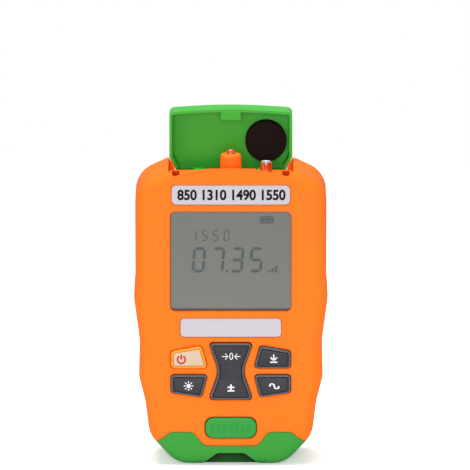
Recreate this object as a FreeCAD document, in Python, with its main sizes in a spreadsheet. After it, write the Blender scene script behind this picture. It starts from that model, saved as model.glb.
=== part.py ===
"""Hand-held optical power meter with a flip lid over its test port.

The meter stands on its bottom cap.  +Z is up, the keypad faces -Y and +X is on the
viewer's right.  The origin is on the standing face, in the middle of the casing's width
and thickness.  Every length is in millimetres and is kept once, in the sheet "Sizes".
"""
import math
import os
import re

import FreeCAD
import Part
import Sketcher
from FreeCAD import Rotation, Vector

SIZES = {
    # Casing: the outline is a chain of straight runs joined by arcs, half of it given here.
    "casing_depth": (28.0, "front face to back face"),
    "wall": (2.0, "casing wall"),
    "front_edge": (4.0, "rounding round the front face"),
    "back_edge": (5.0, "rounding round the back face"),
    "girth_half": (32.6, "half width at the widest place"),
    "cell_radius": (5.25, "radius of the AAA cells that the lower end wraps"),
    "cell_space": (0.4, "space between two cells"),
    "cell_pitch": ("2 * cell_radius + cell_space", "distance between cells"),
    "foot_wrap": (2.05, "how far the casing reaches past the cells at the floor line"),
    "foot_half": ("cell_pitch + cell_radius + foot_wrap",
                  "half width where the floor line meets the lower corner"),
    "foot_round": (9.8, "rounding there"),
    "hip_in": (5.3, "narrowing at the top of the lower corner"),
    "hip_half": ("girth_half - hip_in", "half width there"),
    "hip_rise": (9.8, "its height"),
    "hip_round": (10.0, "rounding there"),
    "grip_in": (3.85, "narrowing at the lower grip"),
    "grip_half": ("girth_half - grip_in", "half width there"),
    "grip_step": (11.7, "height of the grip above the lower corner"),
    "grip_rise": ("hip_rise + grip_step", "its height"),
    "grip_round": (20.0, "rounding there"),
    "swell_in": (1.7, "narrowing beside the keypad"),
    "swell_half": ("girth_half - swell_in", "half width there"),
    "swell_step": (8.5, "height of that place above the grip"),
    "swell_rise": ("grip_rise + swell_step", "its height"),
    "swell_round": (12.0, "rounding there"),
    "waist_in": (2.0, "narrowing at the waist above the keypad"),
    "waist_half": ("girth_half - waist_in", "half width there"),
    "waist_step": (12.5, "height of the waist above that place"),
    "waist_rise": ("swell_rise + waist_step", "its height"),
    "waist_round": (25.0, "rounding there"),
    "girth_step": (15.0, "height of the widest place above the waist"),
    "girth_rise": ("waist_rise + girth_step", "its height"),
    "girth_round": (15.0, "rounding there"),
    "chest_in": (0.6, "narrowing beside the display"),
    "chest_half": ("girth_half - chest_in", "half width there"),
    "chest_step": (5.5, "height where that run begins above the widest place"),
    "chest_rise": ("girth_rise + chest_step", "its height"),
    "chest_round": (15.0, "rounding there"),
    "joint_gap": (0.15, "gap between pieces that stay together"),
    "slide_gap": (0.25, "gap round a piece that moves"),
    "contact_gap": (0.1, "gap between faces that all but meet"),
    # Keypad.  The heights of what lies above it are stacked on it.
    "rocker_rise": (32.5, "height of the rocker key's pivot"),
    "rocker_tall": (19.3, "rocker key height"),
    "rocker_half": (7.3, "its half width at the ends"),
    "rocker_pinch": (3.5, "how far its side tangents pinch it in at the pivot"),
    "rocker_waist": ("rocker_half - rocker_pinch", "half width where they meet"),
    "rocker_curve": (8.0, "radius of the waist"),
    "rocker_gap": (0.35, "gap round it, wide enough for its tilt"),
    "rocker_back": (4.0, "depth of its back face behind the front face"),
    "pivot_deep": (3.1, "depth of its pivot behind the front face"),
    "pivot_radius": (0.8, "radius of its pivot pegs"),
    "pivot_play": (0.05, "running clearance of the pegs"),
    "lug_clear": (1.2, "distance from the pinch to the lugs that carry the pegs"),
    "lug_thick": (1.4, "thickness of a lug"),
    "lug_inner": ("rocker_waist + lug_clear", "inner side of the lugs"),
    "lug_outer": ("lug_inner + lug_thick", "outer side of the lugs"),
    "lug_wall": (0.9, "wall round the peg in a lug"),
    "lug_half": ("pivot_radius + pivot_play + lug_wall", "half height of a lug"),
    "pivot_short": (0.2, "how far the pegs end inside the lugs"),
    "pivot_reach": ("lug_outer - pivot_short", "how far the pegs reach from the middle"),
    "key_proud": (0.9, "how far the keys stand out of the face"),
    "key_bevel": (0.55, "bevel round a key's top"),
    "bridge_tall": (4.9, "height of the flat bridge across the rocker key"),
    "bridge_sunk": (0.25, "how far it lies below the key's top"),
    "key_round": (1.2, "corner radius of a key"),
    "key_flange": (0.8, "width and thickness of the rim that holds a key in"),
    "key_ledge": ("wall + contact_gap", "depth of the rim's face behind the front face"),
    "key_back": ("key_ledge + key_flange", "depth of a key's back behind the front face"),
    "key_in": (12.6, "outer side of the corner keys in from the widest place"),
    "key_outer": ("girth_half - key_in", "outer side of the four corner keys"),
    "key_clear": (0.5, "distance from the rocker key to the corner keys"),
    "key_inner": ("rocker_half + key_clear", "inner side at the long edge"),
    "key_lean": (2.15, "how far the inner side leans away from the rocker key"),
    "key_taper": ("key_inner + key_lean", "inner side at the short edge"),
    "upper_lift": (1.15, "distance from the pivot up to the upper keys"),
    "upper_side_tall": (5.75, "upper key height at the outer side"),
    "upper_peak_tall": (7.6, "upper key height at the inner side"),
    "upper_key_low": ("rocker_rise + upper_lift", "bottom of the upper keys"),
    "upper_key_side": ("upper_key_low + upper_side_tall", "their top at the outer side"),
    "upper_key_high": ("upper_key_low + upper_peak_tall", "their top at the inner side"),
    "lower_drop": (1.25, "distance from the pivot down to the lower keys"),
    "lower_side_tall": (6.05, "lower key height at the outer side"),
    "lower_peak_tall": (7.6, "lower key height at the inner side"),
    "lower_key_high": ("rocker_rise - lower_drop", "top of the lower keys"),
    "lower_key_side": ("lower_key_high - lower_side_tall", "their bottom at the outer side"),
    "lower_key_low": ("lower_key_high - lower_peak_tall", "their bottom at the inner side"),
    # Display window and plates in the front face.
    "label_wide": (34.1, "lower plate width"),
    "label_tall": (6.6, "lower plate height"),
    "label_lift": (5.25, "height of its centre above the rocker key"),
    "label_rise": ("rocker_rise + rocker_tall / 2 + label_lift", "height of its centre"),
    "label_round": (1.3, "its corner radius"),
    "window_in": (12.3, "side of the display window in from the widest place"),
    "window_wide": ("2 * (girth_half - window_in)", "display window width"),
    "window_tall": (34.1, "display window height"),
    "window_lift": (2.4, "distance from the lower plate to the window"),
    "window_rise": ("label_rise + label_tall / 2 + window_lift + window_tall / 2",
                    "height of its centre"),
    "window_round": (1.7, "its corner radius"),
    "window_ledge": (1.6, "width of the ledge that the window sits on"),
    "view_round": (0.85, "corner radius of the opening inside the ledge"),
    "lens_thick": (0.9, "window thickness"),
    "lens_sunk": (0.4, "how far it lies below the face"),
    "title_wide": (39.9, "title plate width"),
    "title_tall": (6.9, "title plate height"),
    "title_lift": (2.2, "distance from the window to the title plate"),
    "title_rise": ("window_rise + window_tall / 2 + title_lift + title_tall / 2",
                   "height of its centre"),
    "title_round": (1.5, "its corner radius"),
    "plate_thick": (0.4, "plate thickness"),
    "plate_sunk": (0.15, "how far the plates lie below the face"),
    "panel_side": (0.9, "how far the display panel reaches past the window at a side"),
    "panel_end": (1.45, "how far it reaches past the window at an end"),
    "panel_half": ("window_wide / 2 + panel_side", "half width of the display panel"),
    "panel_tall": ("window_tall + 2 * panel_end", "display panel height"),
    "panel_deep": (2.2, "depth of the panel's face"),
    "panel_thick": (2.0, "panel thickness"),
    "strip_tall": (1.8, "height of a zebra strip"),
    "strip_in": (2.0, "end of a zebra strip in from the panel's side"),
    # Top corners, stacked on the display.
    "panel_room": (2.35, "room above the display panel"),
    "cavity_top": ("window_rise + panel_tall / 2 + panel_room",
                   "top of the room for the electronics"),
    "cavity_round": (4.0, "rounding of that room's top corners"),
    "floor_thick": (1.8, "thickness of the channel's floor"),
    "channel_floor": ("cavity_top + floor_thick", "height of the channel's floor"),
    "corner_lift": (3.2, "height of the top corner above the channel's floor"),
    "corner_rise": ("channel_floor + corner_lift", "height of the top corner"),
    "corner_round": (9.5, "rounding there"),
    "ridge_lift": (14.9, "how far the shoulder slopes would climb before they meet"),
    "ridge_rise": ("corner_rise + ridge_lift", "height where they would meet"),
    "ridge_round": (10.0, "rounding there"),
    # Channel between the shoulders, and the lip in front of it.
    "shoulder_wide": (11.7, "channel's side in from the widest place"),
    "channel_half": ("girth_half - shoulder_wide", "half width between the shoulders"),
    "lip_thick": (1.7, "thickness of the front lip"),
    "deck_tall": (4.3, "height of the deck above the channel's floor"),
    "deck_rise": ("channel_floor + deck_tall", "height of the deck"),
    "horn_wide": (1.25, "how far the shoulders' front corners reach over the channel"),
    "horn_lean": (0.9, "how far their edges lean back out where the slopes would meet"),
    "horn_half": ("channel_half - horn_wide", "half width between them at the lip"),
    "horn_top_half": ("horn_half + horn_lean", "half width between them at the top"),
    "lip_lift": (1.65, "height of the lip's ends above the deck"),
    "lip_end_rise": ("deck_rise + lip_lift", "height of the lip's edge at the shoulders"),
    "lip_tall": (5.45, "rise of the lip edge's end tangents to where they meet"),
    "lip_peak_rise": ("lip_end_rise + lip_tall", "height where they meet"),
    "lip_straight": (1.6, "straight run at each end of the lip's edge"),
    "lip_round": ("(sqrt(horn_half^2 + lip_tall^2) - lip_straight) * horn_half / lip_tall",
                  "radius of the lip's arched edge"),
    "lip_corner": (1.0, "rounding where the lip meets a shoulder's corner"),
    "neck_in": (3.9, "neck's side in from the channel's side"),
    "neck_half": ("channel_half - neck_in",
                  "half width of the way from the channel to the electronics"),
    "neck_front": (9.5, "its reach in front of the middle"),
    "neck_back": (5.5, "its reach behind the middle"),
    # Release button and latch.
    "wave_mid_rise": (6.7, "cap edge height in the middle"),
    "catch_lift": (0.5, "distance from the cap's edge to the rib that the latch hooks over"),
    "catch_low": ("wave_mid_rise + catch_lift", "bottom of that rib"),
    "catch_tall": (1.0, "height of that rib"),
    "button_wide": (17.1, "release button width"),
    "button_tall": (7.0, "release button height"),
    "button_lift": (1.3, "distance from the rib to the button"),
    "button_rise": ("catch_low + catch_tall + button_lift + button_tall / 2",
                    "height of its centre"),
    "button_round": (2.9, "its corner radius"),
    "button_proud": (0.6, "how far it stands out of the face"),
    "button_soft": (0.45, "softened edge of its top"),
    "catch_deep": (3.4, "depth of the rib's back behind the front face"),
    "catch_half": (9.0, "half length of that rib"),
    "latch_half": (4.0, "half width of the latch spring"),
    "latch_thick": (0.4, "thickness of the latch spring"),
    "latch_over": (2.5, "how far the spring reaches above the button's centre"),
    "latch_top": ("button_rise + latch_over", "height of its top"),
    # Bottom cap.
    "wave_mid_half": (9.0, "half width of that stretch"),
    "wave_lobe_tall": (4.7, "height of the lobes above that"),
    "wave_lobe_rise": ("wave_mid_rise + wave_lobe_tall", "cap edge height at the lobes"),
    "wave_climb": (3.6, "width of the climb to a lobe"),
    "wave_lobe_inner": ("wave_mid_half + wave_climb", "inner end of a lobe"),
    "wave_lobe_wide": (7.7, "width of a lobe"),
    "wave_lobe_outer": ("wave_lobe_inner + wave_lobe_wide", "outer end of a lobe"),
    "wave_past": (1.4, "how far the cap's edge is drawn past the casing"),
    "wave_side_half": ("girth_half + wave_past", "outer end of the cap's edge"),
    "wave_side_rise": (0.6, "its height there"),
    "wave_round": (3.0, "rounding along the cap's edge"),
    "scoop_half": (9.9, "half width of the finger scoop at the bottom"),
    "scoop_top_half": (4.6, "half width of its top"),
    "scoop_tall": (4.25, "height of the finger scoop"),
    "scoop_deep": (4.5, "depth of the finger scoop"),
    "scoop_round": (2.2, "its upper corners"),
    "scoop_wall": (1.6, "wall behind and above the scoop"),
    "plinth_tall": (2.0, "block that carries the cap's contact plate"),
    # Battery bay: three AAA cells side by side.
    "cell_long": (44.5, "cell length over the cap nub"),
    "cell_nub": (1.9, "radius of the nub"),
    "cell_nub_tall": (0.8, "height of the nub"),
    "cell_low": (5.3, "height of the cells' lower ends"),
    "cell_gap": (0.1, "gap between a cell and the bay"),
    "cell_back": ("casing_depth / 2 - wall - cell_radius - cell_gap",
                  "distance of the cells' axes behind the middle"),
    "bay_low": (8.0, "bottom of the battery bay's walls"),
    "bay_wall": (1.0, "battery bay wall"),
    "bay_half": ("cell_pitch + cell_radius + cell_gap", "half width of the room for the cells"),
    "bay_front": ("cell_back - cell_radius - cell_gap", "front of that room"),
    "contact_thick": (0.4, "contact plate thickness"),
    "contact_wide": (8.0, "width of a contact plate"),
    "contact_tall": (0.8, "height of a contact's spring dimple"),
    "contact_dimple": (2.6, "radius of a dimple's foot"),
    "contact_tip": (1.3, "radius of a dimple's tip"),
    "cell_top": ("cell_low + cell_long", "height of the cells' upper ends"),
    "bay_top": ("cell_top + contact_tall + contact_thick", "top of the room for the cells"),
    # Flip lid, measured from its hinge.
    "hinge_back": (9.5, "hinge behind the middle"),
    "hinge_pin": (0.75, "hinge pin radius"),
    "hinge_play": (0.05, "running clearance of the hinge pin"),
    "knuckle_radius": (1.6, "hinge knuckle radius"),
    "hinge_rise": ("deck_rise - knuckle_radius", "height of the hinge"),
    "barrel_half": (8.65, "half length of the deck's hinge barrel"),
    "knuckle_gap": (0.2, "gap between barrel and knuckle"),
    "knuckle_long": (3.6, "length of a lid knuckle"),
    "knuckle_soft": (0.5, "rounding of the corner between a knuckle and the lid"),
    "lid_rim": (2.0, "lid's rim above the hinge when shut"),
    "lid_deep": (12.2, "lid's outer face above the hinge when shut"),
    "lid_wall": (1.0, "lid wall"),
    "lid_side_gap": (0.2, "gap between the lid and a shoulder"),
    "lid_half": ("channel_half - lid_side_gap", "half width of the lid"),
    "lid_foot_in": (2.0, "narrowing of the lid at the hinge"),
    "lid_foot_half": ("lid_half - lid_foot_in", "half width there"),
    "lid_foot_reach": (1.4, "where the lid starts to widen"),
    "lid_side_reach": (5.2, "where the lid reaches its full width"),
    "lid_slope": ("(lid_half - lid_foot_half) / (lid_side_reach - lid_foot_reach)",
                  "how fast it widens"),
    "cheek_half": ("lid_foot_half + lid_side_gap", "inner side of the cones beside its foot"),
    "cheek_foot": ("sqrt(lid_foot_reach^2 + lid_rim^2)", "radius of the cones there"),
    "cheek_reach": (4.6, "where the lid's rim passes the cones' outer ends"),
    "cheek_tip": ("sqrt(cheek_reach^2 + lid_rim^2)", "radius of the cones there"),
    "cheek_side": ("cheek_half + (cheek_reach - lid_foot_reach) * lid_slope",
                   "distance of those ends from the middle"),
    "lid_front_gap": (1.2, "how far the shut lid's outer corners stay behind the lip"),
    "lid_corner_reach": ("hinge_back + casing_depth / 2 - lip_thick - lid_front_gap",
                         "reach of the lid's outer corners"),
    "lid_bow": (1.3, "how far the tip's end tangents climb before they meet"),
    "lid_peak_reach": ("lid_corner_reach + lid_bow", "reach where they meet"),
    "lid_tip_straight": (8.81, "run beside the arc of the lid's tip, with the corner"),
    "lid_tip_round": ("(sqrt(lid_half^2 + lid_bow^2) - lid_tip_straight) * lid_half / lid_bow",
                      "radius of the lid's arched tip"),
    "lid_corner_round": (1.8, "corner radius of the lid"),
    "lid_tail": (1.6, "lid's rear wall behind the hinge"),
    "lid_soft": (1.8, "rounding round the lid's outer face"),
    "tab_half": (3.4, "half width of the lid's catch tab"),
    "tab_long": (2.5, "its length"),
    "tab_thick": (1.3, "its thickness"),
    "tab_reach": ("lid_corner_reach + lid_bow / 2 - lid_wall", "reach of the wall it grows from"),
    "pad_side_gap": (1.0, "gap between the foam pad and the lid's side wall"),
    "pad_gap": (0.2, "gap between the pad and the port when shut"),
    "led_gap": (0.9, "gap between the LED's dome and the shut lid"),
    "led_rise": ("hinge_rise + lid_deep - lid_wall - led_gap", "height of the LED's dome"),
    # Top deck, torch post, test port.
    "deck_thick": (1.6, "deck plate thickness"),
    "deck_low": ("deck_rise - deck_thick", "height of the deck plate's underside"),
    "deck_back": (7.5, "deck's rear edge behind the middle"),
    "trench_side": (1.25, "distance from the channel's side to the trenches beside the deck"),
    "trench_wide": (2.3, "width of the trenches"),
    "trench_end": (1.5, "wall behind the trenches"),
    "trench_outer": ("channel_half - trench_side", "outer side of the trenches"),
    "trench_inner": ("trench_outer - trench_wide", "inner side of the trenches"),
    "trench_front": (9.5, "reach of the trenches in front of the middle"),
    "trench_deep": (2.6, "depth of the trenches"),
    "post_base": (3.75, "torch post radius at the deck"),
    "post_tip": (3.4, "torch post radius at the top"),
    "led_proud": (1.6, "height of the LED's dome above the post"),
    "post_rise": ("led_rise - led_proud", "height of the torch post"),
    "post_soft": (0.9, "rounding of its top"),
    "led_radius": (1.5, "torch LED radius"),
    "led_flange": (1.9, "torch LED flange radius"),
    "led_flange_thick": (0.85, "torch LED flange thickness"),
    "led_deep": (3.6, "depth of the step that the LED's flange meets"),
    "led_seat": ("post_rise - led_deep", "height of that step"),
    "lead_radius": (0.25, "radius of a wire lead"),
    "lead_pitch": (2.54, "distance between two leads"),
    "lead_drop": (5.1, "bend of the leads below the board's upper edge"),
    "port_in": (9.1, "port's axis in from the channel's side"),
    "port_side": ("channel_half - port_in", "distance of the port from the middle"),
    "pad_radius": ("lid_half - lid_wall - port_side - pad_side_gap", "radius of the foam pad"),
    "port_radius": (2.05, "port barrel radius"),
    "port_tall": (4.5, "height of the port's rim above the deck"),
    "port_rise": ("deck_rise + port_tall", "height of the port's rim"),
    "port_bore": (1.6, "radius inside the barrel"),
    "port_bevel": (0.3, "bevel of the port's rim"),
    "keyway_wide": (0.7, "width of the key slot in the port's rim"),
    "keyway_tall": (0.9, "depth of that slot"),
    "port_flange": (3.2, "radius of the barrel's flange"),
    "port_flange_thick": (1.2, "thickness of the barrel's flange"),
    "ferrule_radius": (1.25, "radius of the ferrule that the port takes"),
    "ferrule_wall": (0.3, "wall of the alignment sleeve"),
    "ferrule_slit": (0.3, "width of the sleeve's slit"),
    "ferrule_long": (6.8, "length of the sleeve"),
    "diode_radius": (2.35, "radius of the photodiode's can"),
    "diode_flange": (2.7, "radius of the photodiode's flange"),
    "diode_flange_thick": (0.4, "thickness of that flange"),
    "diode_tall": (3.2, "height of the photodiode"),
    # Electronics.
    "mat_side": (1.4, "how far the keypad mat reaches past the corner keys"),
    "mat_half": ("key_outer + mat_side", "half width of the keypad mat"),
    "mat_over": (0.5, "how far it reaches past the rocker key"),
    "mat_low": ("rocker_rise - rocker_tall / 2 - mat_over", "bottom of the keypad mat"),
    "mat_high": ("rocker_rise + rocker_tall / 2 + mat_over", "top of the keypad mat"),
    "mat_thick": (1.0, "mat thickness"),
    "dome_foot": (2.6, "radius of a mat dome's foot"),
    "dome_tip": (1.8, "radius of a mat dome's tip"),
    "dome_lift": ("rocker_tall / 3", "distance of the rocker's domes from its pivot"),
    "board_post": (1.3, "board post radius"),
    "post_gap": (0.5, "gap between the posts and the mat or the panel"),
    "post_half": ("max(panel_half; mat_half) + post_gap + board_post",
                  "board posts from the middle"),
    "board_rim": (0.2, "board left outside the posts"),
    "board_half": ("post_half + board_post + board_rim", "half width of the circuit board"),
    "board_under": (0.85, "how far the board reaches below the mat"),
    "board_low": ("mat_low - board_under", "bottom of the circuit board"),
    "board_room": (1.5, "room above the circuit board"),
    "board_high": ("cavity_top - board_room", "top of the circuit board"),
    "board_deep": (6.4, "depth of the board's face behind the front face"),
    "board_thick": (1.6, "board thickness"),
    "board_round": (1.5, "board's corner radius"),
    "post_in": (3.0, "lowest posts up from the board's lower edge"),
    "post_drop": (5.5, "highest posts down from the board's upper edge"),
    "board_post_low": ("board_low + post_in", "height of the lowest board posts"),
    "board_post_mid": ("label_rise", "height of the middle board posts"),
    "board_post_high": ("board_high - post_drop", "height of the highest board posts"),
    # Fasteners.
    "boss_radius": (2.4, "screw boss radius"),
    "boss_gap": (0.2, "gap between an upper boss and the board"),
    "boss_upper_half": ("board_half + boss_gap + boss_radius", "upper bosses from the middle"),
    "boss_drop": (1.1, "upper bosses down from the board's upper edge"),
    "boss_upper_rise": ("board_high - boss_drop", "height of the upper bosses"),
    "boss_in": (8.7, "lower bosses in from the widest place"),
    "boss_lower_half": ("girth_half - boss_in", "lower bosses from the middle"),
    "boss_lower_rise": (17.0, "height of the lower bosses"),
    "screw_radius": (1.2, "case screw radius"),
    "screw_head": (2.2, "case screw head radius"),
    "screw_head_thick": (1.6, "case screw head thickness"),
    "screw_sunk": (1.4, "how far the head lies below the back face"),
    "screw_bite": (8.0, "length of screw in the front boss"),
    "drive_radius": (0.9, "driver recess radius"),
    "drive_deep": (0.85, "driver recess depth"),
    "board_screw": (0.8, "board screw radius"),
    "board_screw_head": (1.5, "board screw head radius"),
    "board_screw_thick": (1.0, "board screw head thickness"),
    "board_screw_bite": (2.6, "length of board screw in its post"),
    "board_drive": (0.8, "radius of the driver recess in a board screw"),
    "board_drive_deep": (0.7, "depth of that recess"),
}

doc = FreeCAD.newDocument("OpticalPowerMeter")
sheet = doc.addObject("Spreadsheet::Sheet", "Sizes")
for row, (alias, (amount, note)) in enumerate(SIZES.items(), start=1):
    sheet.set("A%d" % row, note)
    sheet.set("B%d" % row, "=%s" % amount)
    sheet.setAlias("B%d" % row, alias)
doc.recompute()

SUB_PARTS = []
ROUND = "PartDesign::Fillet"
BEVEL = "PartDesign::Chamfer"
ALMOST = 0.999


# ---------------------------------------------------------------- helpers
def full(text):
    """Write each size named in an expression with the sheet's name before it."""
    return re.sub(r"[a-z][a-z_]+", lambda word: "Sizes." + word.group()
                  if word.group() in SIZES else word.group(), text)


def number(text):
    """The present value of an expression."""
    return float(sheet.evalExpression(full(text)))


def bind(item, **properties):
    """Bind properties of an object to expressions, skipping plain zeros."""
    for name, text in properties.items():
        item.setExpression(name.replace("__", "."), full(text))
    return item


def place(item, x="0", y="0", z="0"):
    """Bind an object's position."""
    return bind(item, Placement__Base__x=x, Placement__Base__y=y, Placement__Base__z=z)


def finish(item, label):
    """Record an object as a sub-part under its own label."""
    item.Label = label
    SUB_PARTS.append(item)
    return item


def new_body(label, x="0", y="0", z="0"):
    """Start a PartDesign body, placed and recorded as a sub-part."""
    return finish(place(doc.addObject("PartDesign::Body", label), x, y, z), label)


def sketch_on(body, role, name, offset="0"):
    """Start a sketch on one of a body's origin planes, moved along the plane's normal.

    On XZ_Plane the normal is -Y, so a positive offset lies nearer to the viewer.
    """
    plane = next(item for item in body.Origin.OriginFeatures if item.Role == role)
    sketch = body.newObject("Sketcher::SketchObject", body.Label + "_" + name)
    sketch.AttachmentSupport = [(plane, "")]
    sketch.MapMode = "FlatFace"
    sketch.setExpression("AttachmentOffset.Base.z", full(offset))
    return sketch


def constrain(sketch, rules):
    """Add constraints in one go and bind the ones that carry an expression."""
    first = sketch.ConstraintCount
    sketch.addConstraint([rule for rule, text in rules])
    for index, (rule, text) in enumerate(rules, start=first):
        if text:
            sketch.setExpression("Constraints[%d]" % index, full(text))


def pinned(item, end, x, y):
    """Two rules that hold a point of a sketch at bound distances from its origin."""
    return [(Sketcher.Constraint("DistanceX", -1, 1, item, end, number(x)), x),
            (Sketcher.Constraint("DistanceY", -1, 1, item, end, number(y)), y)]


def outline(sketch, corners):
    """Draw a closed outline of straight runs; corners are (x, y, radius) expressions.

    A corner with radius "0" stays sharp.  Every corner and radius is bound to the sheet.
    """
    points = [Vector(number(x), number(y), 0) for x, y, radius in corners]
    radii = [number(radius) for x, y, radius in corners]
    count = len(points)
    entries, exits, centres, left_turns = [], [], [], []
    for index, here in enumerate(points):
        back = (points[index - 1] - here).normalize()
        ahead = (points[(index + 1) % count] - here).normalize()
        half = back.getAngle(ahead) / 2
        trim = radii[index] / math.tan(half)
        entries.append(here + back * trim)
        exits.append(here + ahead * trim)
        centres.append(here + (back + ahead).normalize() * (radii[index] / math.sin(half)))
        left_turns.append(back.cross(ahead).z < 0)
    lines = [sketch.addGeometry(Part.LineSegment(exits[index], entries[(index + 1) % count]))
             for index in range(count)]
    rules = []
    for index, (x, y, radius) in enumerate(corners):
        before, after = lines[index - 1], lines[index]
        if radii[index] == 0:
            rules.append((Sketcher.Constraint("Coincident", before, 2, after, 1), ""))
            rules += pinned(after, 1, x, y)
            continue
        first, last = entries[index], exits[index]
        if not left_turns[index]:
            first, last = last, first
        angles = [math.atan2(p.y - centres[index].y, p.x - centres[index].x)
                  for p in (first, last)]
        circle = Part.Circle(centres[index], Vector(0, 0, 1), radii[index])
        arc = sketch.addGeometry(Part.ArcOfCircle(circle, *angles))
        corner = sketch.addGeometry(Part.Point(points[index]), True)
        entry_end, exit_end = (1, 2) if left_turns[index] else (2, 1)
        rules += pinned(corner, 1, x, y)
        rules += [
            (Sketcher.Constraint("PointOnObject", corner, 1, before), ""),
            (Sketcher.Constraint("PointOnObject", corner, 1, after), ""),
            (Sketcher.Constraint("Tangent", before, 2, arc, entry_end), ""),
            (Sketcher.Constraint("Tangent", after, 1, arc, exit_end), ""),
            (Sketcher.Constraint("Radius", arc, radii[index]), radius),
        ]
    constrain(sketch, rules)
    return sketch


def mirrored(half):
    """Close a half outline, listed from the middle of the bottom up, to both sides."""
    left = [("-(%s)" % x, y, radius) for x, y, radius in reversed(half) if number(x) != 0]
    return half + left


def panel(sketch, x, y, wide, tall, radius="0", grow="0"):
    """Draw a rectangle about a centre, grown by an amount on every side."""
    left = "%s - (%s) / 2 - (%s)" % (x, wide, grow)
    right = "%s + (%s) / 2 + (%s)" % (x, wide, grow)
    low = "%s - (%s) / 2 - (%s)" % (y, tall, grow)
    high = "%s + (%s) / 2 + (%s)" % (y, tall, grow)
    return outline(sketch, [(right, low, radius), (right, high, radius),
                            (left, high, radius), (left, low, radius)])


def almost(radius):
    """A rounding that just leaves a straight run beside it."""
    return "(%s) * %s" % (radius, ALMOST)


def circle(sketch, x, y, radius):
    """Draw a circle with its centre and radius bound."""
    item = sketch.addGeometry(Part.Circle(Vector(number(x), number(y), 0),
                                          Vector(0, 0, 1), number(radius)))
    rules = pinned(item, 3, x, y)
    rules.append((Sketcher.Constraint("Radius", item, number(radius)), radius))
    constrain(sketch, rules)
    return sketch


def pad(sketch, length, flip=False, middle=False):
    """Pad a sketch; on XZ_Plane a flipped pad runs to the back."""
    body = sketch.getParentGeoFeatureGroup()
    feature = body.newObject("PartDesign::Pad", sketch.Name + "_pad")
    feature.Profile = sketch
    feature.Reversed = flip
    feature.Midplane = middle
    bind(feature, Length=length)
    doc.recompute()
    return feature


def pocket(sketch, length, flip=False, middle=False):
    """Cut a sketch out of its body and make sure that something was cut."""
    body = sketch.getParentGeoFeatureGroup()
    before = body.Tip.Shape.Volume
    feature = body.newObject("PartDesign::Pocket", sketch.Name + "_pocket")
    feature.Profile = sketch
    feature.Reversed = flip
    feature.Midplane = middle
    bind(feature, Length=length)
    doc.recompute()
    if not feature.Shape.Volume < before:
        raise RuntimeError(sketch.Name + " cuts nothing")
    return feature


def turn(sketch, axis="V_Axis"):
    """Revolve a sketch once round one of its own axes."""
    body = sketch.getParentGeoFeatureGroup()
    feature = body.newObject("PartDesign::Revolution", sketch.Name + "_turn")
    feature.Profile = sketch
    feature.ReferenceAxis = (sketch, [axis])
    feature.Angle = 360
    doc.recompute()
    return feature


def soften(body, name, radius, test, kind=ROUND):
    """Round (or chamfer) the edges of a body's tip that pass a test."""
    base = body.Tip
    chosen = ["Edge%d" % (index + 1) for index, edge in enumerate(base.Shape.Edges)
              if test(edge)]
    feature = body.newObject(kind, body.Label + "_" + name)
    feature.Base = (base, chosen)
    if kind == BEVEL:
        bind(feature, Size=radius)
    else:
        bind(feature, Radius=radius)
    doc.recompute()
    return feature


def all_at(edge, axis, where, reach=0.02):
    """Whether an edge lies in a plane across one axis, in the body's own frame."""
    box = edge.BoundBox
    low, high = getattr(box, axis + "Min"), getattr(box, axis + "Max")
    return abs(low - where) < reach and abs(high - where) < reach


def rod(name, radius, length, axis="Z", x="0", y="0", z="0", tip=None):
    """A bound cylinder, or a cone with a tip radius, along an axis from its start point."""
    if tip is None:
        item = bind(doc.addObject("Part::Cylinder", name), Radius=radius, Height=length)
    else:
        item = bind(doc.addObject("Part::Cone", name), Radius1=radius, Radius2=tip,
                    Height=length)
    turns = {"X": Rotation(Vector(0, 1, 0), 90), "-X": Rotation(Vector(0, 1, 0), -90),
             "Y": Rotation(Vector(1, 0, 0), -90), "-Y": Rotation(Vector(1, 0, 0), 90),
             "Z": Rotation(), "-Z": Rotation(Vector(1, 0, 0), 180)}
    item.Placement.Rotation = turns[axis]
    return place(item, x, y, z)


def block(name, low, high):
    """A bound box between two corners, each three expressions."""
    item = doc.addObject("Part::Box", name)
    spans = ["(%s) - (%s)" % (b, a) for a, b in zip(low, high)]
    bind(item, Length=spans[0], Width=spans[1], Height=spans[2])
    return place(item, *low)


def join(name, items):
    """Fuse several solids into one."""
    result = doc.addObject("Part::MultiFuse", name)
    result.Shapes = items
    result.Refine = True
    return result


def cut(name, base, tool):
    """Cut one solid from another."""
    result = doc.addObject("Part::Cut", name)
    result.Base, result.Tool = base, tool
    return result


def group(name, items):
    """Keep several like pieces together as one sub-part of separate solids."""
    result = doc.addObject("Part::Compound", name)
    result.Links = items
    return finish(result, name)


# ---------------------------------------------------------------- shared outlines
MIDDLE = "casing_depth / 2"
THROUGH_WALL = "1.5 * wall"
THROUGH_CASING = "4 * casing_depth"


def from_front(depth):
    """Offset of a sketch that lies at a depth behind the front face."""
    return "casing_depth / 2 - (%s)" % depth


def at_depth(depth):
    """The y of something at a depth behind the front face."""
    return "(%s) - casing_depth / 2" % depth


def casing_corners():
    """Outline of the whole casing, seen from the front."""
    return mirrored([
        ("foot_half", "0", "foot_round"),
        ("hip_half", "hip_rise", "hip_round"),
        ("grip_half", "grip_rise", "grip_round"),
        ("swell_half", "swell_rise", "swell_round"),
        ("waist_half", "waist_rise", "waist_round"),
        ("girth_half", "girth_rise", "girth_round"),
        ("chest_half", "chest_rise", "chest_round"),
        ("chest_half", "corner_rise", "corner_round"),
        ("0", "ridge_rise", "ridge_round"),
    ])


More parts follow.
